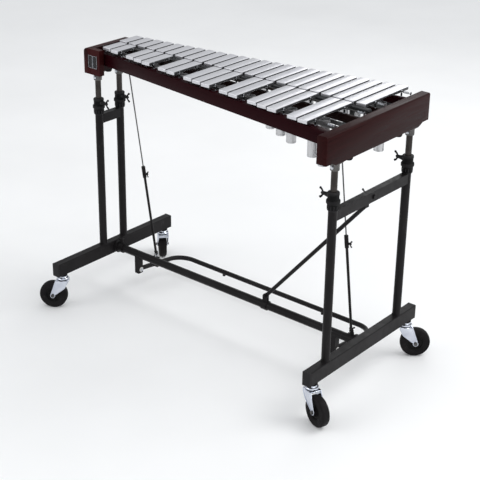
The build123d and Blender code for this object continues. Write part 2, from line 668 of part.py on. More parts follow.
def bars_and_cords():
    bore = CORD_RADIUS + 0.5
    nat_holes = [cord_line(line, bore) for line in (NAT_INNER_CORD, PLAYER_CORD)]
    acc_holes = [cord_line(line, bore) for line in (AUDIENCE_CORD, ACC_INNER_CORD)]
    for i in range(NATURALS):
        keep("natural_bars", bar(natural_x(i), NATURAL_FRONT_Y, natural_back_y(i), nat_holes))
    for i in ACCIDENTALS:
        keep("accidental_bars", bar(accidental_x(i), accidental_front_y(i), ACC_BACK_Y, acc_holes))
    for line in (AUDIENCE_CORD, ACC_INNER_CORD, NAT_INNER_CORD, PLAYER_CORD):
        keep("bar_cords", cord_line(line, CORD_RADIUS, 525.0))
    for line in (NAT_INNER_CORD, PLAYER_CORD):
        for i in range(NATURALS + 1):
            keep("cord_posts", post(natural_x(i - 0.5), line))
    gaps = sorted({i + side * 0.5 for i in ACCIDENTALS for side in (-1, 1)})
    for line in (AUDIENCE_CORD, ACC_INNER_CORD):
        for i in gaps:
            keep("cord_posts", post(accidental_x(i), line))


def post(x, line):
    """Pin in the rail that carries the cord between two bars."""
    y = along(line, x)
    pin = cylinder_z(x, y, RAIL_TOP, CORD_Z + POST_ABOVE_CORD, POST_RADIUS)
    return pin - cord_line(line, CORD_RADIUS + 0.02)


def resonator(x, y, radius, length):
    low = RESONATOR_TOP - length
    tube = cylinder_z(x, y, low, RESONATOR_TOP, radius)
    bore = radius - RESONATOR_WALL
    return tube - cylinder_z(x, y, low + RESONATOR_FLOOR, RESONATOR_TOP + 1, bore)


def resonator_length(semitones, radius):
    """Quarter wavelength less the open end's correction."""
    hertz = LOWEST_HZ * 2 ** (semitones / 12)
    return max(SOUND_SPEED / (4 * hertz) - 0.61 * radius, SHORTEST_RESONATOR)


def resonators():
    scale = (4, 2, 0, 11, 9, 7, 5)
    for i in range(NATURALS):
        steps = scale[i % 7] + 12 * (3 - (i + 4) // 7)
        add_resonator("natural_resonators", natural_x(i), NAT_RESONATOR_Y, steps)
    for i in ACCIDENTALS:
        low = int(i + 0.5)
        steps = scale[low % 7] + 12 * (3 - (low + 4) // 7) + 1
        add_resonator("accidental_resonators", accidental_x(i), ACC_RESONATOR_Y, steps)
    for ends in (NAT_RESONATOR_Y, ACC_RESONATOR_Y):
        for side in (-1, 1):
            line = [y + side * (r + RESONATOR_GAP) for y, r in zip(ends, RESONATOR_RADIUS)]
            edges = sorted((0.0, side * RESONATOR_RAIL_THICK))
            keep("resonator_rails", slanted_board(line, edges, *RESONATOR_RAIL))


def add_resonator(node, x, ends, steps):
    radius = along(RESONATOR_RADIUS, x)
    keep(node, resonator(x, along(ends, x), radius, resonator_length(steps, radius)))


def leg_tubes():
    half_x, half_y, plate = SOCKET_PLATE
    for sign, legs in ((-1, TREBLE_LEGS_Y), (1, BASS_LEGS_Y)):
        x = sign * BEAM_X
        for y in legs:
            under = PANEL_BOTTOM if sign > 0 else PANEL_BOTTOM + PANEL_STEP
            top = under - plate
            keep("leg_tubes", cylinder_z(x, y, LEG_TUBE_BOTTOM, top, LEG_TUBE_RADIUS, LEG_TUBE_BORE))
            socket = cylinder_z(x, y, SOCKET_BOTTOM, under, SOCKET_RADIUS)
            socket += block(x - half_x, x + half_x, y - half_y, y + half_y, top, under)
            socket -= cylinder_z(x, y, SOCKET_BOTTOM - 1, top, LEG_TUBE_RADIUS)
            keep("leg_sockets", socket)
            for side in (-1, 1):
                head = SOCKET_RADIUS + SOCKET_BOLT_HEAD
                y0, y1 = sorted((y + side * (SOCKET_RADIUS - 0.5), y + side * head))
                bolt = cylinder_y(x, y0, y1, SOCKET_BOTTOM + 11, SOCKET_BOLT_RADIUS)
                keep("leg_sockets", bolt - cylinder_z(x, y, SOCKET_BOTTOM, under, SOCKET_RADIUS))
    for x, y, under in ((BEAM_X, -129.0, PANEL_BOTTOM), (BEAM_X, 129.0, PANEL_BOTTOM),
                        (-BEAM_X, -4.0, PANEL_BOTTOM + PANEL_STEP)):
        foot = Pos(x, y, under - 6.5) * Cone(13.0, 10.0, 13.0)
        keep("rubber_feet", foot)


def damper():
    x, half = DAMPER_X, DAMPER_HALF_BAR
    low, felt_y = DAMPER_FELT_TOP - FELT_THICK, (DAMPER_Y - FELT_HALF, DAMPER_Y + FELT_HALF)
    keep("damper_felt", block(-x, x, *felt_y, low, DAMPER_FELT_TOP))
    bar = block(-x, x, DAMPER_Y - half, DAMPER_Y + half, low - DAMPER_BAR_THICK, low)
    for centre in PEDAL_X.values():
        near, far = (centre + edge for edge in PULL_ARM)
        bar += block(near, far, DAMPER_Y - half, DAMPER_Y + half, ROD_TOP_Z - 6, low - 2)
        bar += block(near, far, ROD_TOP_Y - 7, DAMPER_Y + half, ROD_TOP_Z - 6, ROD_TOP_Z + 5)
        bar += cylinder_x(centre - 4, near, ROD_TOP_Y, ROD_TOP_Z, DAMPER_PIN_RADIUS)
    keep("damper_bar", bar)


def main():
    foot_beams()
    leg_frames()
    wing_screws()
    stretcher()
    brace()
    casters()
    pedal()
    end_panels()
    rails()
    bars_and_cords()
    resonators()
    leg_tubes()
    damper()

    # The origin is the middle of the footprint
    boxes = [solid.bounding_box() for solids in parts.values() for solid in solids]
    centre_x = (min(b.min.X for b in boxes) + max(b.max.X for b in boxes)) / 2
    centre_y = (min(b.min.Y for b in boxes) + max(b.max.Y for b in boxes)) / 2
    print("footprint centre before shift", round(centre_x, 4), round(centre_y, 4))
    os.makedirs("parts", exist_ok=True)
    for name, solids in parts.items():
        pieces = [s for shape in solids for s in shape.solids()]
        group = Compound(children=[Pos(-centre_x, -centre_y, 0) * s for s in pieces])
        export_step(group, f"parts/{name}.step")
    print(len(parts), "nodes")


main()
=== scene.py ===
import json
import math

import bmesh
import bpy
from mathutils import Matrix, Vector, noise


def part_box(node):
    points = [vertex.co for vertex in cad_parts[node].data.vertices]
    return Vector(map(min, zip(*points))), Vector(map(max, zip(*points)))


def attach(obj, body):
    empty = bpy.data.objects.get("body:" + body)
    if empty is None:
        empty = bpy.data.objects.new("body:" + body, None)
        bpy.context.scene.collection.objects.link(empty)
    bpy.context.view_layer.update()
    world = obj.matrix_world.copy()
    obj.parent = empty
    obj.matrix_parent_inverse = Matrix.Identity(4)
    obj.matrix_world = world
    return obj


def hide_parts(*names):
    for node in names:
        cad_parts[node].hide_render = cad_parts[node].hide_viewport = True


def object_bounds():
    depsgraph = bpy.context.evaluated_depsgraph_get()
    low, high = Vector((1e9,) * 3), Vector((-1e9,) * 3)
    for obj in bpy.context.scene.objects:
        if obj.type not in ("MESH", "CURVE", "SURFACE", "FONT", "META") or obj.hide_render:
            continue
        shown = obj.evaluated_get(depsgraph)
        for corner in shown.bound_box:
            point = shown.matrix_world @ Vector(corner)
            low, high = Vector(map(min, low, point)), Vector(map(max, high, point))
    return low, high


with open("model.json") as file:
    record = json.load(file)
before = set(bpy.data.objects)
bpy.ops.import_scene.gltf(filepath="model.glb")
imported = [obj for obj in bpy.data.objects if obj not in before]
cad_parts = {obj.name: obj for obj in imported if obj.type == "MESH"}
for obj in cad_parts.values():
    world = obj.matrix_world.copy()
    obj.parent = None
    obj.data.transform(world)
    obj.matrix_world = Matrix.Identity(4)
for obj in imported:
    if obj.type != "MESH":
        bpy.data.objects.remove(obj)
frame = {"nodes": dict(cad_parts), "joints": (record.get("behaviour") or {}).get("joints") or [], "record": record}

cad_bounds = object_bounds()
nodes = frame["nodes"]
joints = {j["child"]: j for j in frame["joints"]}
MM = 0.001
SAME = 1e-6  # points closer than this, in metres, are one point
X_AXIS, Y_AXIS, Z_AXIS = Vector((1, 0, 0)), Vector((0, 1, 0)), Vector((0, 0, 1))

# The ends of the keyboard and the sides of the stand, as the body names spell them
ENDS = ("treble", "bass")
SIDES = ("front", "back")

# Camera: its place about the middle of the object in metres, its angles in degrees
CAMERA_PLACE = (2.362, -2.821, 1.597)
CAMERA_AZIMUTH = 39.82
CAMERA_ELEVATION = 23.9
CAMERA_ROLL = 0.73
CAMERA_LENS = 90.8
CAMERA_SHIFT = (0.014, -0.05)

# Lights: name, place, point aimed at, width and height in metres, power in watts
LIGHTS = (
    ("key", (2.4, 1.6, 3.2), (0.1, 0, 0.6), (2.2, 2.2), 56),
    ("side", (3.2, -0.6, 1.4), (0, 0, 0.5), (1.6, 1.6), 7),
    ("front", (-1.8, -3.2, 2.4), (0, 0, 0.6), (2.4, 1.6), 26),
    ("sheen", (-0.9, 3.2, 2.3), (0.4, 0, 0.9), (1.6, 1.2), 13),
)
AIR_STRENGTH = (0.6, 1.0)  # light from all round, at the -X side and at the +X side
AIR_COLOUR = (0.96, 0.98, 1.0, 1)
BACKDROP_COLOUR = (0.8, 0.8, 0.805, 1)
FLOOR_REACH = 20  # metres each way
FLOOR_DROP = 0.0002  # keeps the floor just under the tyres

# Wood: softened edges, the bass panel's lower step and the treble panel's board
BOARD_ROUND = 1.6 * MM
PANEL_ROUND = 0.88 * MM
BLOCK_ROUND = 1.32 * MM
TOP_CHAMFER = 3.5 * MM
CROWN_ROUND = 14 * MM
STEP_RISE = 9 * MM
TREBLE_BOARD = 35.2 * MM

# Bars: rounding in section and in plan, and the arch under the long ones
BAR_ROUND = 0.9 * MM
BAR_CORNER = 4.0 * MM
ARCHED_FROM = 120 * MM
ARCH_HALF_SHARE = 0.2
ARCH_RISE_SHARE = 0.02

# Cords, and the springs at their bass ends
CORD_RADIUS = 1.8 * MM
SPRING_REACH = 27 * MM
SPRING_RADIUS = 2.9 * MM
SPRING_WIRE = 0.55 * MM
SPRING_TURNS = 9
TURN_STEPS = 12


# Materials


class Finish:
    """A node material in the making. Its textures lie in the piece's own space, in metres."""

    def __init__(self, name, roughness, metallic=0.0, specular=0.5, sheen=0.0):
        self.material = bpy.data.materials.new(name)
        self.material.use_nodes = True
        self.tree = self.material.node_tree
        self.shader = self.tree.nodes["Principled BSDF"]
        for key, value in (("Metallic", metallic), ("Roughness", roughness),
                           ("Specular IOR Level", specular), ("Sheen Weight", sheen)):
            self.shader.inputs[key].default_value = value
        self.place = self.node("TexCoord", {}).outputs["Object"]

    def node(self, kind, inputs, **settings):
        """A new node. An input is set to a value or joined to another node's output."""
        made = self.tree.nodes.new("ShaderNode" + kind)
        for key, value in settings.items():
            setattr(made, key, value)
        for key, value in inputs.items():
            if isinstance(value, bpy.types.NodeSocket):
                self.tree.links.new(value, made.inputs[key])
            else:
                made.inputs[key].default_value = value
        return made

    def stretched(self, scale):
        return self.node("Mapping", {"Scale": scale, "Vector": self.place}).outputs["Vector"]

    def noise(self, scale, detail=4.0, stretch=(1, 1, 1), distortion=0.0):
        inputs = {"Scale": scale, "Detail": detail, "Distortion": distortion,
                  "Vector": self.stretched(stretch)}
        return self.node("TexNoise", inputs).outputs["Fac"]

    def rings(self, scale, stretch, distortion, direction):
        inputs = {"Scale": scale, "Detail": 3.0, "Distortion": distortion,
                  "Vector": self.stretched(stretch)}
        return self.node("TexWave", inputs, bands_direction=direction).outputs["Fac"]

    def cells(self, scale):
        inputs = {"Scale": scale, "Vector": self.place}
        return self.node("TexVoronoi", inputs).outputs["Distance"]

    def ramp(self, value, first, second, start=0.3, end=0.7):
        """Goes from the first colour to the second as value goes from start to end."""
        made = self.node("ValToRGB", {"Fac": value})
        low, high = made.color_ramp.elements
        low.position, high.position = start, end
        low.color, high.color = (*first, 1), (*second, 1)
        return made.outputs["Color"]

    def blend(self, share, first, second):
        """Goes from the first colour to the second as share goes from 0 to 1."""
        first, second = (c if isinstance(c, bpy.types.NodeSocket) else (*c, 1)
                         for c in (first, second))
        inputs = {0: share, 6: first, 7: second}
        return self.node("Mix", inputs, data_type="RGBA").outputs[2]

    def spread(self, value, low, high, start=0.3, end=0.7):
        """Maps start to end onto low to high."""
        inputs = {"Value": value, "From Min": start, "From Max": end, "To Min": low,
                  "To Max": high}
        return self.node("MapRange", inputs).outputs["Result"]

    def edge_wear(self, start=0.52, end=0.6):
        """1 on worn convex edges, 0 elsewhere."""
        pointiness = self.node("NewGeometry", {}).outputs["Pointiness"]
        return self.spread(pointiness, 0.0, 1.0, start, end)

    def painted_shade_facing_x(self):
        """1 on faces that look along X, 0 on the others. It masks the painted shade on the bars' cut sides."""
        normal = self.node("TexCoord", {}).outputs["Normal"]
        along = self.node("SeparateXYZ", {"Vector": normal}).outputs["X"]
        size = self.node("Math", {0: along}, operation="ABSOLUTE").outputs["Value"]
        return self.spread(size, 0.0, 1.0, 0.75, 0.95)

    def onto(self, socket, name):
        self.tree.links.new(socket, self.shader.inputs[name])

    def colour(self, socket):
        self.onto(socket, "Base Color")

    def rough(self, value, low, high):
        self.onto(self.spread(value, low, high), "Roughness")

    def bump(self, *layers):
        """Each layer is (height, depth of its relief in metres)."""
        inputs = {"Strength": 0.6}
        for height, depth in layers:
            inputs.update({"Height": height, "Distance": depth})
            inputs["Normal"] = self.node("Bump", inputs).outputs["Normal"]
        self.onto(inputs["Normal"], "Normal")


def powder_coat():
    f = Finish("black_powder_coat", 0.42, specular=0.1)
    cloud = f.noise(9, 5)
    base = f.ramp(cloud, (0.0085, 0.0076, 0.008), (0.0145, 0.0132, 0.014))
    scuffs = f.spread(f.noise(70, 6, (1, 1, 0.25), 1.2), 0.0, 1.0, 0.64, 0.76)
    f.colour(f.blend(scuffs, base, (0.026, 0.024, 0.025)))
    f.rough(f.noise(38, 4), 0.3, 0.46)
    f.bump((f.noise(1500, 2), 0.00006), (f.noise(320, 2), 0.00004))
    return f.material


def moulded_plastic():
    f = Finish("black_moulded_plastic", 0.48, specular=0.07)
    dark, light = (0.003, 0.003, 0.0032), (0.0075, 0.0072, 0.0076)
    base = f.ramp(f.noise(45, 4), dark, light, end=0.72)
    f.colour(f.blend(f.edge_wear(), base, (0.05, 0.048, 0.05)))
    f.rough(f.noise(110, 3), 0.4, 0.58)
    f.bump((f.cells(1900), 0.00005))
    return f.material


def zinc_plate():
    f = Finish("zinc_plated_steel", 0.3, metallic=1.0)
    tone = f.ramp(f.noise(60, 5), (0.44, 0.46, 0.5), (0.62, 0.63, 0.66))
    stains = f.spread(f.noise(210, 5, distortion=1.5), 0.0, 0.55, 0.6, 0.78)
    f.colour(f.blend(stains, tone, (0.3, 0.29, 0.27)))
    f.rough(f.noise(150, 4), 0.22, 0.42)
    f.bump((f.noise(900, 3), 0.00003))
    return f.material


def grey_steel(name, dark, light):
    f = Finish(name, 0.4, metallic=0.85, specular=0.2)
    tone = f.ramp(f.noise(35, 5), dark, light)
    worn = tuple(1.6 * c for c in light)
    f.colour(f.blend(f.spread(f.noise(160, 5), 0, 0.5, 0.6, 0.75), tone, worn))
    f.rough(f.noise(80, 4, (1, 1, 0.1)), 0.32, 0.52)
    f.bump((f.noise(700, 3, (1, 1, 0.05)), 0.00003))
    return f.material


def chrome():
    f = Finish("bright_chrome", 0.1, metallic=1.0)
    tone = f.ramp(f.noise(30, 4), (0.55, 0.58, 0.66), (0.7, 0.73, 0.8))
    f.colour(f.blend(f.spread(f.noise(240, 6), 0, 0.35, 0.62, 0.76), tone, (0.4, 0.4, 0.44)))
    f.rough(f.noise(75, 4), 0.07, 0.2)
    f.bump((f.noise(260, 2), 0.00003))
    return f.material


def lacquered_wood(name, along, dark, light, figured):
    """Stained open-grain wood under lacquer. along is the axis its grain runs on."""
    f = Finish(name, 0.36, specular=0.045)
    thin = tuple(0.06 if axis == along else 1.0 for axis in "XYZ")
    broad = tuple(0.12 if axis == along else 1.0 for axis in "XYZ")
    grain = f.noise(150, 7, thin, 0.6)
    figure = f.rings(9, broad, 5.0, "Z")
    base = f.ramp(grain, dark, light, 0.34, 0.66)
    base = f.blend(f.spread(figure, 0.0, 0.5, 0.2, 0.9), base, figured)
    f.colour(f.blend(f.edge_wear(0.53, 0.62), base, tuple(2.0 * c for c in light)))
    f.rough(grain, 0.26, 0.44)
    f.bump((f.noise(420, 4, thin), 0.00005), (grain, 0.00004))
    return f.material


def bar_metal():
    """Silver bars, brushed along their length, with a tone that drifts from bar to bar.

    Their cut sides, which look along X, are painted near black: painted shade for the narrow gaps between the
    bars.
    """
    f = Finish("satin_silver_bars", 0.34, metallic=0.78, specular=0.35)
    brushed = f.noise(1400, 4, (1, 0.012, 1))
    tone = f.ramp(brushed, (0.6, 0.6, 0.63), (0.75, 0.75, 0.775))
    each = f.noise(23.4, 1, (1, 0.02, 0.02))
    tone = f.blend(f.spread(each, 0.0, 0.4), tone, (0.58, 0.58, 0.625))
    marks = f.spread(f.noise(120, 6, (1, 0.5, 1), 2.0), 0.0, 0.35, 0.66, 0.8)
    tone = f.blend(marks, tone, (0.52, 0.52, 0.55))
    # Painted shade: faces that look along X get a near-black colour that stands in for the shade between
    # neighbouring bars
    f.colour(f.blend(f.painted_shade_facing_x(), tone, (0.1, 0.1, 0.105)))
    f.rough(f.noise(60, 5, (1, 0.3, 1)), 0.28, 0.42)
    f.bump((brushed, 0.00003))
    return f.material


def resonator_metal():
    f = Finish("drawn_aluminium", 0.3, metallic=0.8)
    drawn = f.noise(900, 4, (1, 1, 0.02))
    tone = f.ramp(drawn, (0.5, 0.5, 0.51), (0.66, 0.66, 0.67))
    spots = f.spread(f.noise(140, 5), 0.0, 0.4, 0.62, 0.78)
    f.colour(f.blend(spots, tone, (0.48, 0.48, 0.5)))
    f.rough(f.noise(50, 4), 0.24, 0.4)
    f.bump((drawn, 0.00004))
    return f.material


def rubber(name, dark, light, scale):
    f = Finish(name, 0.62, specular=0.1)
    base = f.ramp(f.noise(26, 5), dark, light)
    dust = f.spread(f.noise(130, 6), 0.0, 0.5, 0.58, 0.78)
    f.colour(f.blend(dust, base, tuple(2.0 * c for c in light)))
    f.rough(f.noise(60, 4), 0.52, 0.74)
    f.bump((f.cells(scale), 0.00008), (f.noise(90, 3), 0.0001))
    return f.material


def felt():
    f = Finish("dark_felt", 0.95, specular=0.1, sheen=0.15)
    base = f.ramp(f.noise(500, 6), (0.014, 0.014, 0.016), (0.036, 0.036, 0.04))
    worn = f.spread(f.noise(22, 4, (1, 0.3, 1)), 0.0, 0.45, 0.5, 0.75)
    f.colour(f.blend(worn, base, (0.07, 0.07, 0.075)))
    f.rough(f.noise(300, 3), 0.86, 1.0)
    f.bump((f.noise(1600, 6), 0.0004), (f.noise(260, 4), 0.0005))
    return f.material


def braided_cord():
    f = Finish("braided_cord", 0.85, specular=0.2, sheen=0.3)
    braid = f.rings(420, (1, 1, 1), 0.4, "DIAGONAL")
    f.colour(f.ramp(braid, (0.012, 0.011, 0.012), (0.045, 0.042, 0.044), end=0.75))
    f.rough(f.noise(200, 3), 0.75, 0.95)
    f.bump((braid, 0.0003))
    return f.material


def white_nylon():
    f = Finish("white_nylon", 0.4, specular=0.4)
    f.colour(f.ramp(f.noise(90, 4), (0.62, 0.61, 0.58), (0.78, 0.77, 0.74)))
    f.rough(f.noise(120, 3), 0.32, 0.5)
    f.bump((f.noise(600, 3), 0.00005))
    return f.material


FINISHES = {
    "black_coat": powder_coat(),
    "black_plastic": moulded_plastic(),
    "zinc_steel": zinc_plate(),
    "grey_steel": grey_steel("nickelled_steel", (0.075, 0.072, 0.07), (0.14, 0.135, 0.13)),
    "tube_steel": grey_steel("dark_tube_steel", (0.034, 0.03, 0.028), (0.06, 0.053, 0.05)),
    "rod_steel": grey_steel("bare_rod_steel", (0.07, 0.07, 0.072), (0.13, 0.13, 0.13)),
    "chrome": chrome(),
    "stained_wood": lacquered_wood("panel_wood", "Y", (0.0085, 0.0015, 0.0016),
                                   (0.019, 0.0036, 0.0037), (0.0115, 0.0021, 0.0022)),
    "rail_wood": lacquered_wood("rail_wood", "X", (0.0048, 0.0004, 0.001),
                                (0.0115, 0.0011, 0.0021), (0.007, 0.0006, 0.0013)),
    "dark_wood": lacquered_wood("inner_rail_wood", "X", (0.004, 0.0018, 0.0017),
                                (0.009, 0.004, 0.0036), (0.006, 0.0026, 0.0025)),
    "bar_metal": bar_metal(),
    "resonator_metal": resonator_metal(),
    "cord": braided_cord(),
    "black_rubber": rubber("soft_black_rubber", (0.006, 0.006, 0.006),
                           (0.012, 0.0118, 0.0118), 1500),
    "tyre": rubber("tyre_rubber", (0.0058, 0.005, 0.0054), (0.012, 0.0105, 0.0112), 900),
    "hub_plastic": rubber("hub_plastic", (0.0052, 0.005, 0.005), (0.0105, 0.01, 0.0102), 1400),
    "felt": felt(),
    "nylon": white_nylon(),
}
# Finishes that go into another finish's slot of the record
# CAD nodes that look other than their slot's usual finish
OWN_FINISH = {
    "leg_tubes": "tube_steel",
    "upper_rod_treble": "rod_steel",
    "upper_rod_bass": "rod_steel",
    "resonator_rails": "rod_steel",
    "damper_bar": "rod_steel",
}


# Mesh tools


def stored(name, mesh):
    """Turns a bmesh into mesh data and frees it."""
    data = bpy.data.meshes.new(name)
    mesh.to_mesh(data)
    mesh.free()
    return data


def linked(name, data):
    """A new object in the scene."""
    made = bpy.data.objects.new(name, data)
    bpy.context.scene.collection.objects.link(made)
    return made


def shaped(name, mesh, finish, body, *replaced, smooth=35):
    """Turns a bmesh into a finished piece that rides on a CAD body."""
    bmesh.ops.recalc_face_normals(mesh, faces=mesh.faces)
    data = stored(name, mesh)
    data.polygons.foreach_set("use_smooth", [True] * len(data.polygons))
    data.set_sharp_from_angle(angle=math.radians(smooth))
    data.materials.append(FINISHES[finish])
    piece = linked(name, data)
    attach(piece, body)
    if replaced:
        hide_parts(*replaced)
    return piece


def added(mesh, part, place=None):
    """Adds another bmesh into this one, moved by place."""
    if place is not None:
        bmesh.ops.transform(part, matrix=place, verts=part.verts)
    data = stored("part", part)
    mesh.from_mesh(data)
    bpy.data.meshes.remove(data)
    return mesh


def placed(part, place):
    """A shape as a mesh of its own, moved by place."""
    return added(bmesh.new(), part, place)


def mm(*points):
    """Turns points given in millimetres into metres."""
    return [tuple(c * MM for c in point) for point in points]


def skinned(mesh, rings):
    """Joins each ring of points to the next and closes both ends."""
    for a, b in zip(rings, rings[1:]):
        for i in range(len(a)):
            j = (i + 1) % len(a)
            mesh.faces.new((a[i], a[j], b[j], b[i]))
    mesh.faces.new(rings[0][::-1])
    mesh.faces.new(rings[-1])
    return mesh


def soften(mesh, width, segments=2, sharper_than=30):
    """Rounds the edges that turn more than that many degrees."""
    limit = math.radians(sharper_than)
    edges = [e for e in mesh.edges if e.is_manifold and e.calc_face_angle() > limit]
    bmesh.ops.bevel(mesh, geom=edges, offset=width, offset_type="OFFSET", segments=segments,
                    profile=0.5, affect="EDGES", clamp_overlap=True)
    return mesh


def box(low, high, width=0.0, segments=2):
    mesh = bmesh.new()
    low, high = Vector(low), Vector(high)
    bmesh.ops.create_cube(mesh, size=1.0)
    size = high - low
    place = Matrix.Translation((low + high) / 2) @ Matrix.Diagonal((*size, 1))
    bmesh.ops.transform(mesh, matrix=place, verts=mesh.verts)
    return soften(mesh, width, segments) if width else mesh


def prism(outline, low, high, across=Z_AXIS, width=0.0):
    """An outline of 2-D points carried from low to high along Z, X or Y."""
    mesh = bmesh.new()

    def lift(point, level):
        a, b = point
        if across == X_AXIS:
            return level, a, b
        return (a, level, b) if across == Y_AXIS else (a, b, level)

    skinned(mesh, [[mesh.verts.new(lift(p, level)) for p in outline] for level in (low, high)])
    bmesh.ops.recalc_face_normals(mesh, faces=mesh.faces)
    return soften(mesh, width) if width else mesh


def lathe(profile, segments, closed=False):
    """A turned shape about Z from (radius, height) points. A closed profile is a ring."""
    mesh = bmesh.new()
    rings = []
    for radius, height in profile:
        if radius < SAME:
            rings.append([mesh.verts.new((0, 0, height))])
            continue
        turns = [2 * math.pi * i / segments for i in range(segments)]
        rings.append([mesh.verts.new((radius * math.cos(t), radius * math.sin(t), height))
                      for t in turns])
    pairs = list(zip(rings, rings[1:]))
    if closed:
        pairs.append((rings[-1], rings[0]))
    for a, b in pairs:
        for i in range(segments):
            j = (i + 1) % segments
            corners = [a[i % len(a)], a[j % len(a)], b[j % len(b)], b[i % len(b)]]
            corners = list(dict.fromkeys(corners))
            if len(corners) > 2:
                mesh.faces.new(corners)
    return mesh


def facing(direction, at):
    """Places a shape built about Z so that its Z runs along direction from at."""
    turn = Vector(direction).normalized().to_track_quat("Z", "X").to_matrix().to_4x4()
    return Matrix.Translation(at) @ turn


def swept(path, radii, segments, thin=1.0):
    """A round bar along a path, one radius for each point, its Y depth scaled by thin."""
    mesh = bmesh.new()
    points = [Vector(p) for p in path]
    rings = []
    side = None
    for i, point in enumerate(points):
        ahead = points[min(i + 1, len(points) - 1)] - points[max(i - 1, 0)]
        ahead.normalize()
        if side is None:
            side = ahead.orthogonal().normalized()
        side = (side - ahead * side.dot(ahead)).normalized()
        up = ahead.cross(side)
        ring = []
        for k in range(segments):
            t = 2 * math.pi * k / segments
            away = (side * math.cos(t) + up * math.sin(t)) * radii[i]
            away -= Y_AXIS * away.dot(Y_AXIS) * (1 - thin)
            ring.append(mesh.verts.new(point + away))
        rings.append(ring)
    return skinned(mesh, rings)


def carved(piece, cutter, operation="DIFFERENCE"):
    """Applies one boolean cut or union to a piece and removes the cutter."""
    bmesh.ops.recalc_face_normals(cutter, faces=cutter.faces)
    tool = linked("cutter", stored("cutter", cutter))
    cut = piece.modifiers.new("cut", "BOOLEAN")
    cut.operation = operation
    cut.solver = "EXACT"
    cut.object = tool
    graph = bpy.context.evaluated_depsgraph_get()
    result = bpy.data.meshes.new_from_object(piece.evaluated_get(graph))
    piece.modifiers.clear()
    piece.data = result
    bpy.data.objects.remove(tool)


def solids(node):
    """The corner points of each separate solid in a CAD node, in order along X, then Y."""
    mesh = bmesh.new()
    mesh.from_mesh(nodes[node].data)
    bmesh.ops.remove_doubles(mesh, verts=mesh.verts, dist=SAME)
    left, groups = set(mesh.verts), []
    while left:
        start = left.pop()
        group, edge = [start], [start]
        while edge:
            for link in edge.pop().link_edges:
                for vert in link.verts:
                    if vert in left:
                        left.discard(vert)
                        group.append(vert)
                        edge.append(vert)
        groups.append([v.co.copy() for v in group])
    mesh.free()
    return sorted(groups, key=lambda g: tuple(round(c, 4) for c in extent(g)[0]))


def extent(points):
    """Lowest and highest corner."""
    low = Vector(min(p[i] for p in points) for i in range(3))
    high = Vector(max(p[i] for p in points) for i in range(3))
    return low, high


def size_mm(points):
    low, high = extent(points)
    return (high - low) / MM


def middle(points):
    low, high = extent(points)
    return (low + high) / 2


def standing(points):
    """Places a shape built about Z in the middle of a solid, on its lowest level."""
    low, high = extent(points)
    return Matrix.Translation(((low.x + high.x) / 2, (low.y + high.y) / 2, low.z))


def end_spans(points):
    """(x, lowest Y, highest Y) of a long solid at its treble end and at its bass end."""
    low, high = extent(points)
    spans = []
    for x in (low.x, high.x):
        ys = [p.y for p in points if abs(p.x - x) < 2 * MM]
        spans.append((x, min(ys), max(ys)))
    return spans


# Keyboard: panels, rails and bars


def wooden_boards():
    for node, finish in (("audience_rail", "rail_wood"), ("player_rail", "rail_wood"),
                         ("inner_rails", "dark_wood")):
        boards = bmesh.new()
        for points in solids(node):
            (x0, a0, a1), (x1, b0, b1) = end_spans(points)
            low, high = extent(points)
            outline = [(x0, a0), (x1, b0), (x1, b1), (x0, a1)]
            added(boards, prism(outline, low.z, high.z, width=BOARD_ROUND))
        shaped(f"{node}_board", boards, finish, "keyboard", node)


def bass_panel():
    """A thick board whose lower edge steps up near both ends."""
    low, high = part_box("bass_end_panel")
    step_z = low.z + STEP_RISE
    outline = [
        (low.y, step_z), (low.y + 30 * MM, step_z), (low.y + 48 * MM, low.z),
        (high.y - 50 * MM, low.z), (high.y - 32 * MM, step_z), (high.y, step_z),
        (high.y, high.z), (low.y, high.z),
    ]
    panel = prism(outline, low.x, high.x, X_AXIS)
    top = [e for e in panel.edges if all(abs(v.co.z - high.z) < SAME for v in e.verts)
           and abs(e.verts[0].co.y - e.verts[1].co.y) > 0.1]
    bmesh.ops.bevel(panel, geom=top, offset=TOP_CHAMFER, segments=1, affect="EDGES")
    soften(panel, PANEL_ROUND, sharper_than=20)
    shaped("bass_panel_board", panel, "stained_wood", "keyboard", "bass_end_panel")


def treble_panel():
    """A board with a rounded crown, and the block at its front that holds the latch."""
    low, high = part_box("treble_end_panel")
    inner_x = low.x + TREBLE_BOARD
    board = box(low, (inner_x, high.y, high.z))
    crown = [e for e in board.edges if all(abs(v.co.z - high.z) < SAME for v in e.verts)
             and all(abs(v.co.x - low.x) < SAME for v in e.verts)]
    bmesh.ops.bevel(board, geom=crown, offset=CROWN_ROUND, segments=10, profile=0.5,
                    affect="EDGES")
    soften(board, BLOCK_ROUND)
    panel = shaped("treble_panel_board", board, "stained_wood", "keyboard", "treble_end_panel")
    block_low = Vector((inner_x - 4 * MM, low.y, low.z))
    block_high = Vector((high.x, low.y + 22 * MM, high.z))
    carved(panel, box(block_low, block_high, BLOCK_ROUND), "UNION")
    slot_low = Vector((low.x + 21.7 * MM, low.y - MM, low.z + 24 * MM))
    slot_high = Vector((high.x - 13 * MM, low.y + 6 * MM, high.z - 22 * MM))
    carved(panel, box(slot_low, slot_high))
    latch_plate(slot_low, slot_high)


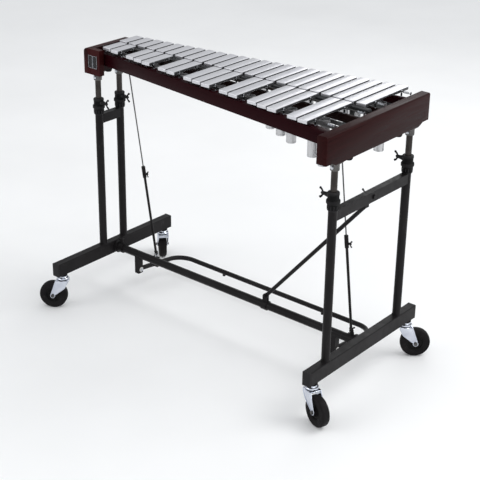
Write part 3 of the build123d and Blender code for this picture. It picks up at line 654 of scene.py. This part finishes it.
def latch_plate(low, high):
    """Two framed slots, side by side, that fill the pocket from low to high."""
    rim, front, back = 0.9 * MM, low.y + 0.6 * MM, low.y + 4.4 * MM
    middle_x = (low.x + high.x) / 2
    frames, wells = bmesh.new(), bmesh.new()
    for x0, x1 in ((low.x, middle_x - rim), (middle_x + rim, high.x)):
        for x in (x0, x1 - rim):
            added(frames, box((x, front, low.z), (x + rim, back, high.z), 0.25 * MM))
        for z in (low.z, high.z - rim):
            added(frames, box((x0 + rim, front, z), (x1 - rim, back, z + rim), 0.25 * MM))
        added(wells, box((x0, back, low.z), (x1, high.y, high.z)))
        added(wells, box((x0 + rim, back - 1.5 * MM, low.z + 3 * MM),
                         (x1 - rim, back + 0.2 * MM, high.z - 3 * MM), 0.7 * MM))
    added(wells, box((middle_x - rim, front + MM, low.z), (middle_x + rim, high.y, high.z)))
    shaped("treble_latch_frames", frames, "zinc_steel", "keyboard")
    shaped("treble_latch_wells", wells, "black_plastic", "keyboard")


def tone_bar(points):
    """One bar: rounded in plan, its edges softened, with an arch under a long one."""
    low, high = extent(points)
    length, half = high.y - low.y, (high.x - low.x) / 2
    centre_x, centre_y = (low.x + high.x) / 2, (low.y + high.y) / 2
    turns = [math.pi / 2 * k / 5 for k in range(6)]
    ends = [(BAR_CORNER * (1 - math.cos(t)), BAR_CORNER * (1 - math.sin(t))) for t in turns]
    inside = [(BAR_CORNER + (length - 2 * BAR_CORNER) * k / 22, 0.0) for k in range(1, 22)]
    stations = ends + inside + [(length - gap, narrow) for gap, narrow in reversed(ends)]
    arch_half, arch_rise = ARCH_HALF_SHARE * length, ARCH_RISE_SHARE * length
    mesh = bmesh.new()
    rings = []
    for distance, narrow in stations:
        y = low.y + distance
        from_end = min(distance, length - distance)
        inset = BAR_ROUND * (1 - math.sin(min(from_end / BAR_ROUND, 1) * math.pi / 2))
        w, soft = half - narrow, BAR_ROUND
        bottom, top = low.z + inset, high.z - inset
        off = abs(y - centre_y) / arch_half
        if length > ARCHED_FROM and off < 1:
            bottom += arch_rise * (1 - off * off)
        section = [(-w, bottom + soft), (-w, top - soft), (soft * 0.3 - w, top - soft * 0.3),
                   (soft - w, top), (w - soft, top), (w - soft * 0.3, top - soft * 0.3),
                   (w, top - soft), (w, bottom + soft), (w - soft, bottom), (soft - w, bottom)]
        rings.append([mesh.verts.new((centre_x + x, y, z)) for x, z in section])
    return skinned(mesh, rings)


def line_y(span, x):
    """Y of a cord's centre line at x, from its two end spans."""
    (x0, a0, a1), (x1, b0, b1) = span
    share = (x - x0) / (x1 - x0)
    return (a0 + a1) / 2 * (1 - share) + (b0 + b1) / 2 * share


def bars_and_cords():
    cords = [end_spans(points) for points in solids("bar_cords")]
    cords.sort(key=lambda span: line_y(span, 0))
    cord_z = middle(solids("bar_cords")[0]).z
    grommets = bmesh.new()
    grommet = mm((2.1, -0.2), (3.5, -0.2), (3.3, 0.6), (2.6, 0.9), (2.1, 0.6))
    for node, lines in (("natural_bars", cords[2:]), ("accidental_bars", cords[:2])):
        bars = bmesh.new()
        for points in solids(node):
            low, high = extent(points)
            added(bars, tone_bar(points))
            for span in lines:
                for x, way in ((low.x, -1), (high.x, 1)):
                    at = (x, line_y(span, x), cord_z)
                    ring = lathe(grommet, 14, closed=True)
                    added(grommets, ring, facing(X_AXIS * way, at))
        shaped(f"{node}_satin", bars, "bar_metal", "keyboard", node)
    shaped("bar_grommets", grommets, "black_rubber", "keyboard")
    cord_ends(cords, cord_z)


def cord_ends(cords, z):
    """The four cords, each with a knot, a tension spring and a plate at the bass panel."""
    ropes, springs = bmesh.new(), bmesh.new()
    spring_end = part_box("bass_end_panel")[0].x
    spring_start = spring_end - SPRING_REACH
    knot = mm((0, -2.6), (2.4, -1.8), (3.1, 0), (2.4, 1.8), (0, 2.6))
    plate = mm((0, 0), (5, 0), (5, 0.8), (3, 1.6), (0, 1.8))
    for span in cords:
        x0 = span[0][0]
        steps = [x0 + (spring_start - x0) * k / 90 for k in range(91)]
        rope = [(x, line_y(span, x), z) for x in steps]
        radii = [CORD_RADIUS * (1 + 0.05 * math.sin(1.9 * k)) for k in range(len(rope))]
        added(ropes, swept(rope, radii, 8))
        y = line_y(span, spring_start)
        added(ropes, lathe(knot, 12), facing(X_AXIS, (spring_start, y, z)))
        coil = [(spring_start + 0.5 * MM, y, z)]
        for k in range(SPRING_TURNS * TURN_STEPS + 1):
            turn = 2 * math.pi * k / TURN_STEPS
            x = spring_start + 3 * MM + 17 * MM * k / (SPRING_TURNS * TURN_STEPS)
            coil.append((x, y + SPRING_RADIUS * math.cos(turn),
                         z + SPRING_RADIUS * math.sin(turn)))
        coil += [(spring_end - 5 * MM, y, z), (spring_end - 0.2 * MM, y, z)]
        added(springs, swept(coil, [SPRING_WIRE] * len(coil), 6))
        added(springs, lathe(plate, 18), facing(-X_AXIS, (spring_end, y, z)))
    shaped("bar_cords_braided", ropes, "cord", "keyboard", "bar_cords", smooth=60)
    shaped("cord_springs", springs, "zinc_steel", "keyboard", smooth=60)


def cord_posts():
    """Steel pins with a rubber sleeve under the cord and a rounded head over it."""
    pins, sleeves = bmesh.new(), bmesh.new()
    for points in solids("cord_posts"):
        place, tall = standing(points), size_mm(points).z
        pin = mm((0, 0), (3.3, 0), (3.3, 0.8), (1.7, 1.4), (1.7, tall - 2.2),
                 (2.4, tall - 1.6), (2.2, tall - 0.5), (0, tall))
        sleeve = mm((1.8, 3), (2.9, 3.3), (2.6, tall * 0.4), (2.9, tall * 0.58),
                    (1.8, tall * 0.6))
        added(pins, lathe(pin, 10), place)
        added(sleeves, lathe(sleeve, 10, closed=True), place)
    shaped("cord_post_pins", pins, "zinc_steel", "keyboard", "cord_posts")
    shaped("cord_post_sleeves", sleeves, "black_rubber", "keyboard")


def resonator_tubes():
    """Thin tubes, open above and closed below, with a groove near the closed end."""
    for node in ("natural_resonators", "accidental_resonators"):
        tubes = bmesh.new()
        for points in solids(node):
            r, wall, h = size_mm(points).x / 2, 1.2, size_mm(points).z
            profile = mm((0, 0.3), (r * 0.6, 0), (r - 1.6, 0), (r - 0.4, 0.5), (r, 1.8),
                         (r, 5), (r - 0.35, 5.4), (r - 0.35, 6), (r, 6.4), (r, h - 1.2),
                         (r - 0.3, h - 0.2), (r - wall * 0.6, h), (r - wall, h - 0.5),
                         (r - wall, 2.6), (0, 2.2))
            added(tubes, lathe(profile, 28), standing(points))
        shaped(f"{node}_turned", tubes, "resonator_metal", "keyboard", node)


def felt_strip():
    """The damper's felt, soft-edged and a little uneven along its length."""
    low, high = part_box("damper_felt")
    half_y, half_z = (high.y - low.y) / 2, (high.z - low.z) / 2
    cy, cz = (high.y + low.y) / 2, (high.z + low.z) / 2
    lengths, sides = 180, 20
    mesh = bmesh.new()
    rings = []
    for k in range(lengths + 1):
        x = low.x + (high.x - low.x) * k / lengths
        pinch = 0.92 if k in (0, lengths) else 1.0
        ring = []
        for n in range(sides):
            t = 2 * math.pi * n / sides
            c, s = math.cos(t), math.sin(t)
            y = half_y * math.copysign(abs(c) ** 0.35, c) * pinch
            z = half_z * math.copysign(abs(s) ** 0.45, s) * pinch
            fuzz = 1 - 0.05 * (0.5 + 0.5 * noise.noise(Vector((x * 120, y * 160, z * 160))))
            ring.append(mesh.verts.new((x, cy + y * fuzz, cz + z * fuzz)))
        rings.append(ring)
    skinned(mesh, rings)
    shaped("damper_felt_strip", mesh, "felt", "damper", "damper_felt", smooth=60)


def leg_sockets():
    """Turned cups under the panels, each with two side bolts and a screwed plate."""
    sockets, bolts = bmesh.new(), bmesh.new()
    z0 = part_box("leg_sockets")[0].z
    for points in solids("leg_tubes"):
        low, high = extent(points)
        x, y, top = (low.x + high.x) / 2, (low.y + high.y) / 2, high.z
        r = 14 * MM
        profile = [(10.1 * MM, z0), (r - 0.8 * MM, z0), (r, z0 + 0.8 * MM), (r, top - 4 * MM),
                   (r + 2 * MM, top - MM), (r + 2 * MM, top), (10.1 * MM, top)]
        added(sockets, lathe(profile, 32, closed=True), Matrix.Translation((x, y, 0)))
        plate_low = (x - 17 * MM, y - 20 * MM, top)
        plate_high = (x + 17 * MM, y + 20 * MM, top + 3 * MM)
        added(sockets, box(plate_low, plate_high, 0.8 * MM))
        for side in (-1, 1):
            at = (x, y + side * r * 0.99, z0 + 11 * MM)
            added(bolts, hex_bolt(5, 4), facing((0, side, 0), at))
            for across in (-1, 1):
                at = (x + across * 12.5 * MM, y + side * 15.5 * MM, top)
                added(bolts, pan_head(3, 1.6), facing((0, 0, -1), at))
    shaped("leg_socket_cups", sockets, "grey_steel", "keyboard", "leg_sockets")
    shaped("leg_socket_bolts", bolts, "zinc_steel", "keyboard", smooth=25)


def hex_bolt(radius, height):
    """A chamfered hexagon head with a washer under it, on Z = 0. In millimetres."""
    wide, under = radius * 1.15, height * 0.16
    washer = mm((0, 0), (wide, 0), (wide, under), (0, under))
    head = mm((0, under), (radius, under), (radius, height * 0.86), (radius * 0.86, height),
              (0, height))
    return added(lathe(washer, 20), lathe(head, 6))


def pan_head(radius, height):
    """A screw's domed head, on Z = 0. In millimetres."""
    return lathe(mm((0, 0), (radius, 0), (radius * 0.96, height * 0.5),
                    (radius * 0.7, height * 0.9), (0, height)), 16)


def rubber_feet():
    feet = bmesh.new()
    for points in solids("rubber_feet"):
        low, high = extent(points)
        r, h = (high.x - low.x) / 2, high.z - low.z
        profile = [(0, h), (r, h), (r, h * 0.55), (r * 0.94, h * 0.3), (r * 0.78, h * 0.08),
                   (r * 0.5, 0), (r * 0.3, 0), (r * 0.24, h * 0.2), (0, h * 0.2)]
        added(feet, lathe(profile, 28), standing(points))
    shaped("panel_rubber_feet", feet, "black_rubber", "keyboard", "rubber_feet")


# Stand


def winged(mesh, start, reach, span, radius):
    """Two V-shaped wings on a screw whose axis is Z, from height start. In millimetres."""
    # Share of span, share of reach and share of radius along one wing
    shape = ((0, 0, 0.95), (0.35, 0.12, 0.85), (0.75, 0.5, 0.85), (1, 1, 1.05),
             (1.07, 1.2, 1.16), (1.13, 1.36, 0.85), (1.16, 1.44, 0.3))
    radii = [radius * thick * MM for _, _, thick in shape]
    for side in (-1, 1):
        path = [(side * span * out, 0, start + reach * up) for out, up, _ in shape]
        added(mesh, swept(mm(*path), radii, 14, 0.72))
    return mesh


def wing_screws():
    shank, hub = 3.7, 5.8
    profile = mm((0, 10.4), (shank * 0.8, 10.4), (shank, 11.2), (shank, 30), (hub * 0.86, 30.6),
                 (hub, 31.8), (hub, 36), (hub * 0.8, 41), (hub * 0.45, 43.4), (0, 44))
    uprights = solids("uprights")
    for end, legs in zip(ENDS, (uprights[:2], uprights[2:])):
        for side, points in zip(SIDES, sorted(legs, key=lambda p: middle(p).y)):
            name = f"wing_screw_{end}_{side}"
            joint = joints[name]
            at = (middle(points).x, middle(points).y, joint["pos_m"][2])
            screw = winged(lathe(profile, 24), 37, 8.5, 13.5, 3.5)
            screw = placed(screw, facing(joint["axis"], at))
            shaped(f"{name}_cast", screw, "black_plastic", name, name)


def brace_wing_nut():
    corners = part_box("brace_wing_nut")
    at, reach = middle(corners), size_mm(corners).x
    at.x = corners[1].x
    profile = mm((4.05, 0), (7, 0), (7, reach * 0.5), (5.6, reach * 0.9), (4.05, reach * 0.92))
    nut = winged(lathe(profile, 24, closed=True), reach * 0.45, 7, 12.5, 3.1)
    nut = placed(nut, facing(-X_AXIS, at))
    shaped("brace_wing_nut_cast", nut, "black_plastic", "brace_nut", "brace_wing_nut")


def rod_thumbscrews():
    for end in ENDS:
        node = f"rod_thumbscrew_{end}"
        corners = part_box(node)
        at, reach = middle(corners), size_mm(corners).x
        at.x = corners[0].x
        profile = mm((0, 0), (2.5, 0), (2.5, reach * 0.6), (4.5, reach * 0.62),
                     (4.5, reach * 0.85), (3, reach * 0.98), (0, reach))
        screw = winged(lathe(profile, 20), reach * 0.75, 4.5, 9, 2.5)
        screw = placed(screw, facing(X_AXIS, at))
        shaped(f"{node}_cast", screw, "black_plastic", f"thumbscrew_{end}", node)


def tee_bolts():
    """Bolts with a collar and a sliding bar through their heads."""
    # Share of the bar's half length, and radius in millimetres
    grip = ((-1.0, 1.4), (-0.94, 2.9), (-0.84, 3.3), (-0.74, 2.2),
            (0.74, 2.2), (0.84, 3.3), (0.94, 2.9), (1.0, 1.4))
    for end in ENDS:
        node = f"tee_bolt_{end}"
        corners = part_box(node)
        tall, half = size_mm(corners).z, size_mm(corners).y / 2
        profile = mm((0, 0), (3, 0), (3, tall - 19), (5.5, tall - 18.5), (5.5, tall - 9.5),
                     (4, tall - 7), (4, tall - 2), (2.5, tall), (0, tall))
        path = mm(*[(0, half * share, tall - 4.2) for share, _ in grip])
        bolt = added(lathe(profile, 24), swept(path, [r * MM for _, r in grip], 14))
        bolt = placed(bolt, standing(corners))
        shaped(f"{node}_turned", bolt, "black_coat", node, node)


def height_collars():
    """Ribbed clamping collars, each with a boss for its wing screw."""
    profile = mm((13.7, 0), (15.2, 0), (16.8, 2), (17.5, 4.5), (17.5, 19.5), (18.6, 21.6),
                 (20.6, 23.4), (21, 25), (21, 31), (20.4, 33), (18.2, 35.2), (17.3, 37),
                 (17.2, 48), (17.9, 49.4), (18.1, 51), (18.1, 55.6), (17.2, 57.4), (15.8, 58),
                 (10.5, 58), (10.5, 42), (13.7, 39.6))
    boss = mm((0, 14), (8.8, 14), (8.2, 19), (6.6, 26), (6.1, 28.6), (5.4, 29), (0, 29))
    (rib_low, rib_high), ribs, boss_z = mm((17, -0.8, 6), (18.2, 0.8, 18)), 12, 44 * MM
    collars = bmesh.new()
    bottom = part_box("height_collars")[0].z
    for points in solids("uprights"):
        at = Vector((middle(points).x, middle(points).y, bottom))
        place = Matrix.Translation(at)
        added(collars, lathe(profile, 40, closed=True), place)
        for k in range(ribs):
            turn = Matrix.Rotation(2 * math.pi * (k + 0.5) / ribs, 4, "Z")
            added(collars, box(rib_low, rib_high, 0.3 * MM), place @ turn)
        inward = -X_AXIS if at.x > 0 else X_AXIS
        added(collars, lathe(boss, 28), facing(inward, at + Z_AXIS * boss_z))
    shaped("height_collars_moulded", collars, "black_plastic", "stand", "height_collars")


def stand_bolts():
    """The brace's two dark bolts, and the pedal's pivot bolts with their nylon washers."""
    pivots, braces, washers = bmesh.new(), bmesh.new(), bmesh.new()
    pivots_below, head_height = 0.12, 4.5
    cup = mm((0, 0), (8.5, 0), (8.5, 1.6), (7.6, 2.2), (0, 2.2))
    for points in solids("stand_bolts"):
        low, high = extent(points)
        size, mid = high - low, (low + high) / 2
        along = Y_AXIS if size.y > size.x else X_AXIS
        half = max(size.x, size.y) / 2
        is_pivot = mid.z < pivots_below
        group = pivots if is_pivot else braces
        head = 7 if along == X_AXIS else 5.5
        end = half - 2 * MM
        shank = [(0, -end), (3 * MM, -end), (3 * MM, end), (0, end)]
        added(group, lathe(shank, 20), facing(along, mid))
        for way in (-1, 1) if is_pivot or along == Y_AXIS else (1,):
            out = along * way
            bolt = hex_bolt(head, head_height)
            added(group, bolt, facing(out, mid + out * (half - head_height * MM)))
            if is_pivot:
                added(washers, lathe(cup, 24), facing(out, mid + out * (half - 4.6 * MM)))
    shaped("pedal_pivot_bolts", pivots, "zinc_steel", "stand", "stand_bolts", smooth=25)
    shaped("brace_bolts", braces, "black_coat", "stand", smooth=25)
    shaped("pivot_nylon_washers", washers, "nylon", "stand")


def end_caps():
    """Moulded plugs whose soft-edged heads cover the ends of the two feet."""
    caps = bmesh.new()
    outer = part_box("beam_end_caps")
    plug_depth, inset = 14 * MM, 2.6 * MM
    for end in ENDS:
        low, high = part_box(f"foot_beam_{end}")
        for y, face, way in ((low.y, outer[0].y, -1), (high.y, outer[1].y, 1)):
            near, far = sorted((y, face))
            added(caps, box((low.x, near, low.z), (high.x, far, high.z), 1.6 * MM, 3))
            near, far = sorted((y - way * plug_depth, y))
            plug_low = (low.x + inset, near, low.z + inset)
            plug_high = (high.x - inset, far, high.z - inset)
            added(caps, box(plug_low, plug_high))
    shaped("foot_end_caps_moulded", caps, "black_plastic", "stand", "beam_end_caps")


def weld_beads():
    """Uneven fillets of weld round the feet of the uprights."""
    beads = bmesh.new()
    steps, ripples = 48, 16
    radii = [(1.7 + 0.25 * math.sin(k * 2.3)) * MM for k in range(steps + 1)]
    for points in solids("uprights"):
        low, high = extent(points)
        x, y, z = (low.x + high.x) / 2, (low.y + high.y) / 2, low.z + 0.4 * MM
        path = []
        for k in range(steps + 1):
            turn = 2 * math.pi * k / steps
            r = (high.x - low.x) / 2 + 0.35 * MM * math.sin(turn * ripples)
            path.append((x + r * math.cos(turn), y + r * math.sin(turn), z))
        added(beads, swept(path, radii, 8))
    shaped("upright_weld_beads", beads, "black_coat", "stand", smooth=60)


# Casters


def caster_places():
    """Each caster's name, place, trail and axle height.

    The place is on the floor under the stem, with X towards the wheel.
    """
    for end in ENDS:
        for side in SIDES:
            name = f"{end}_{side}"
            stem = Vector(joints[f"caster_{name}"]["pos_m"])
            wheel = Vector(joints[f"wheel_{name}"]["pos_m"])
            stem.z = 0
            away = Vector((wheel.x - stem.x, wheel.y - stem.y, 0))
            turn = Matrix.Rotation(math.atan2(away.y, away.x), 4, "Z")
            yield name, Matrix.Translation(stem) @ turn, away.length, wheel.z


def casters():
    """The four casters: races on the stand, forks that swivel, wheels that roll."""
    races, seals = bmesh.new(), bmesh.new()
    crown = joints["caster_bass_front"]["pos_m"][2]
    for name, place, trail, axle_z in caster_places():
        upper_race(races, seals, place, crown)
        fork(name, place, trail, axle_z, crown)
        axle = Matrix.Translation((trail, 0, axle_z)) @ Matrix.Rotation(-math.pi / 2, 4, "X")
        wheel_parts(name, place @ axle)
    shaped("caster_ball_races", races, "chrome", "stand", "caster_stems")
    shaped("caster_stem_seals", seals, "black_rubber", "stand")


def upper_race(races, seals, place, crown):
    """King pin, ball race and nut, turned from the crown's level up, and a rubber seal."""
    top = (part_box("caster_stems")[1].z - crown) / MM
    place = place @ Matrix.Translation((0, 0, crown))
    pin = mm((0, -3), (6, -3), (7.4, -1.6), (7.4, -0.5), (4.9, -0.4), (4.9, 5.5), (15, 5.8),
             (19.6, 6.4), (21, 8), (21, 11), (19.8, 12.6), (16, 13.4), (14.5, 15.5),
             (14.5, 18), (0, 18))
    nut = mm((0, 15), (13, 15), (13, top - 5), (11.5, top - 4), (0, top - 4))
    seal = mm((0, top - 5), (15.6, top - 5), (17, top - 3.6), (17, top), (0, top))
    added(races, lathe(pin, 36), place)
    added(races, lathe(nut, 6), place)
    added(seals, lathe(seal, 32), place)


def fork(name, place, trail, axle_z, crown):
    """Pressed steel fork: crown with its race, two legs with beaded rims, skirt and axle bolt."""
    inside, plate, thick, rim_bead = 17 * MM, 2.5 * MM, 4 * MM, 1.0 * MM
    top, eye = crown + thick, 9.2 * MM
    rear, front = -20 * MM, 23 * MM
    steel, bolt = bmesh.new(), bmesh.new()
    dish = [(5.1 * MM, crown), (20 * MM, crown), (22 * MM, crown + 1.2 * MM), (22 * MM, top - MM),
            (20.6 * MM, top), (17 * MM, top - 0.5 * MM), (14.5 * MM, top), (5.1 * MM, top)]
    added(steel, lathe(dish, 40, closed=True))
    side = inside + plate
    added(steel, box((2 * MM, -side, crown), (front, side, top), 1.2 * MM, 3))
    added(steel, box((rear, -side, top - 12 * MM), (rear + 2.2 * MM, side, top), 1.0 * MM))
    arc = [math.radians(a) for a in range(12, -200, -14)]
    outline = [(rear, top), (front, top)]
    outline += [(trail + eye * math.cos(a), axle_z + eye * math.sin(a)) for a in arc]
    outline += [(rear + 14 * MM, top - 33 * MM), (rear + 8.5 * MM, top - 27 * MM),
                (rear, top - 10 * MM)]
    eye -= rim_bead
    rim = [(front - rim_bead, top - 2 * MM)]
    rim += [(trail + eye * math.cos(a), axle_z + eye * math.sin(a)) for a in arc]
    rim += [(rear + 15 * MM, top - 33 * MM), (rear + 9.2 * MM, top - 26.6 * MM),
            (rear + rim_bead, top - 9.6 * MM), (rear + rim_bead, top - 2 * MM)]
    for way in (-1, 1):
        y0, y1 = sorted((way * inside, way * side))
        added(steel, prism(outline, y0, y1, Y_AXIS, 0.5 * MM))
        path = []
        for (xa, za), (xb, zb) in zip(rim, rim[1:]):
            steps = max(1, round(math.dist((xa, za), (xb, zb)) / (6 * MM)))
            path += [(xa + (xb - xa) * k / steps, way * side, za + (zb - za) * k / steps)
                     for k in range(steps)]
        path.append((rim[-1][0], way * side, rim[-1][1]))
        added(steel, swept(path, [rim_bead] * len(path), 8))
        # The front edge of the leg, from the crown to the eye, has a thicker fold
        fold = [(x - 1.4 * MM, y, z) for x, y, z in path
                if front - 1.6 * MM < x < trail + 7 * MM and z > axle_z + 9 * MM]
        added(steel, swept(fold, [2.3 * MM] * len(fold), 12, 0.6))
        added(bolt, hex_bolt(5.6, 5), facing((0, way, 0), (trail, way * side, axle_z)))
    axle = [(0, -side), (4 * MM, -side), (4 * MM, side), (0, side)]
    added(bolt, lathe(axle, 20), facing(Y_AXIS, (trail, 0, axle_z)))
    body = f"caster_{name}"
    shaped(f"caster_axle_{name}", placed(bolt, place), "grey_steel", body, smooth=25)
    shaped(f"caster_fork_{name}_pressed", placed(steel, place), "chrome", body,
           f"caster_fork_{name}")


def wheel_parts(name, place):
    """Tyre with a crowned tread and ringed sidewalls, on a stepped hub. Its axle is Z."""
    tyre = mm((30, 12.0), (31.5, 13.2), (34, 13.6), (35, 13.2), (36, 13.6), (41, 13.9),
              (42, 13.4), (43, 13.9), (45.5, 13.6), (47.6, 12.4), (49.0, 10.4), (49.7, 7.6),
              (50, 4.0))
    hub = mm((4.1, 16.6), (9.2, 16.6), (10, 15.8), (10.2, 9), (12.6, 8.2), (13.4, 11.2),
             (14.6, 11.6), (15.6, 8.6), (24, 8.2), (25.4, 11.4), (27, 12), (29.9, 12))
    for part, half, segments, finish in (("tyre", tyre, 72, "tyre"),
                                         ("hub", hub, 48, "hub_plastic")):
        profile = half + [(radius, -width) for radius, width in reversed(half)]
        turned = placed(lathe(profile, segments, closed=True), place)
        node = f"caster_{part}_{name}"
        shaped(f"{node}_moulded", turned, finish, f"wheel_{name}", node)


# CAD nodes that keep their own mesh, under the record's slot names


def dress_cad_nodes():
    """Gives each CAD node that still shows its own finish, or else its slot's."""
    slots = {s["node"]: s["material_slot"] for s in frame["record"]["subparts"]}
    for name, node in nodes.items():
        if node.hide_render:
            continue
        for slot in node.material_slots:
            slot.material = FINISHES[OWN_FINISH.get(name, slots[name])]


# Studio


def soft_light(name, place, aim, size, power):
    data = bpy.data.lights.new(name, "AREA")
    data.shape = "RECTANGLE"
    data.size, data.size_y = size
    data.energy = power
    lamp = linked(name, data)
    lamp.location = place
    lamp.rotation_euler = (Vector(aim) - Vector(place)).to_track_quat("-Z", "Y").to_euler()


def air():
    """Light from all round that is stronger from the bass end, before a plain backdrop."""
    world = bpy.data.worlds.new("studio_air")
    bpy.context.scene.world = world
    world.use_nodes = True
    tree = world.node_tree
    new, link = tree.nodes.new, tree.links.new
    room = tree.nodes["Background"]
    room.inputs["Color"].default_value = AIR_COLOUR
    way, split = new("ShaderNodeTexCoord"), new("ShaderNodeSeparateXYZ")
    link(way.outputs["Generated"], split.inputs[0])
    side = new("ShaderNodeMapRange")
    side.inputs["From Min"].default_value = -0.9
    side.inputs["From Max"].default_value = 0.9
    side.inputs["To Min"].default_value, side.inputs["To Max"].default_value = AIR_STRENGTH
    link(split.outputs["X"], side.inputs["Value"])
    link(side.outputs["Result"], room.inputs["Strength"])
    backdrop, seen = new("ShaderNodeBackground"), new("ShaderNodeMixShader")
    backdrop.inputs["Color"].default_value = BACKDROP_COLOUR
    link(new("ShaderNodeLightPath").outputs["Is Camera Ray"], seen.inputs[0])
    link(room.outputs[0], seen.inputs[1])
    link(backdrop.outputs[0], seen.inputs[2])
    link(seen.outputs[0], tree.nodes["World Output"].inputs["Surface"])


def studio():
    air()
    bpy.context.scene.view_settings.view_transform = "Standard"
    mesh = bmesh.new()
    bmesh.ops.create_grid(mesh, x_segments=1, y_segments=1, size=FLOOR_REACH)
    floor = linked("floor", stored("floor", mesh))
    floor.location.z = -FLOOR_DROP
    f = Finish("pale_floor", 0.75, specular=0.1)
    f.colour(f.ramp(f.noise(1.5, 3), (0.9, 0.9, 0.9), (0.94, 0.94, 0.94)))
    floor.data.materials.append(f.material)
    for light in LIGHTS:
        soft_light(*light)


def camera():
    low, high = cad_bounds
    a, e = math.radians(CAMERA_AZIMUTH), math.radians(CAMERA_ELEVATION)
    back = Vector((math.sin(a) * math.cos(e), -math.cos(a) * math.cos(e), math.sin(e)))
    level = Matrix.Translation((low + high) / 2 + Vector(CAMERA_PLACE))
    level @= back.to_track_quat("Z", "Y").to_matrix().to_4x4()
    data = bpy.data.cameras.new("camera")
    data.lens = CAMERA_LENS
    data.shift_x, data.shift_y = CAMERA_SHIFT
    view = linked("camera", data)
    view.matrix_world = level @ Matrix.Rotation(math.radians(CAMERA_ROLL), 4, "Z")
    bpy.context.scene.camera = view


wooden_boards()
bass_panel()
treble_panel()
bars_and_cords()
cord_posts()
resonator_tubes()
felt_strip()
leg_sockets()
rubber_feet()
wing_screws()
brace_wing_nut()
rod_thumbscrews()
tee_bolts()
height_collars()
stand_bolts()
end_caps()
weld_beads()
casters()
dress_cad_nodes()
studio()
camera()
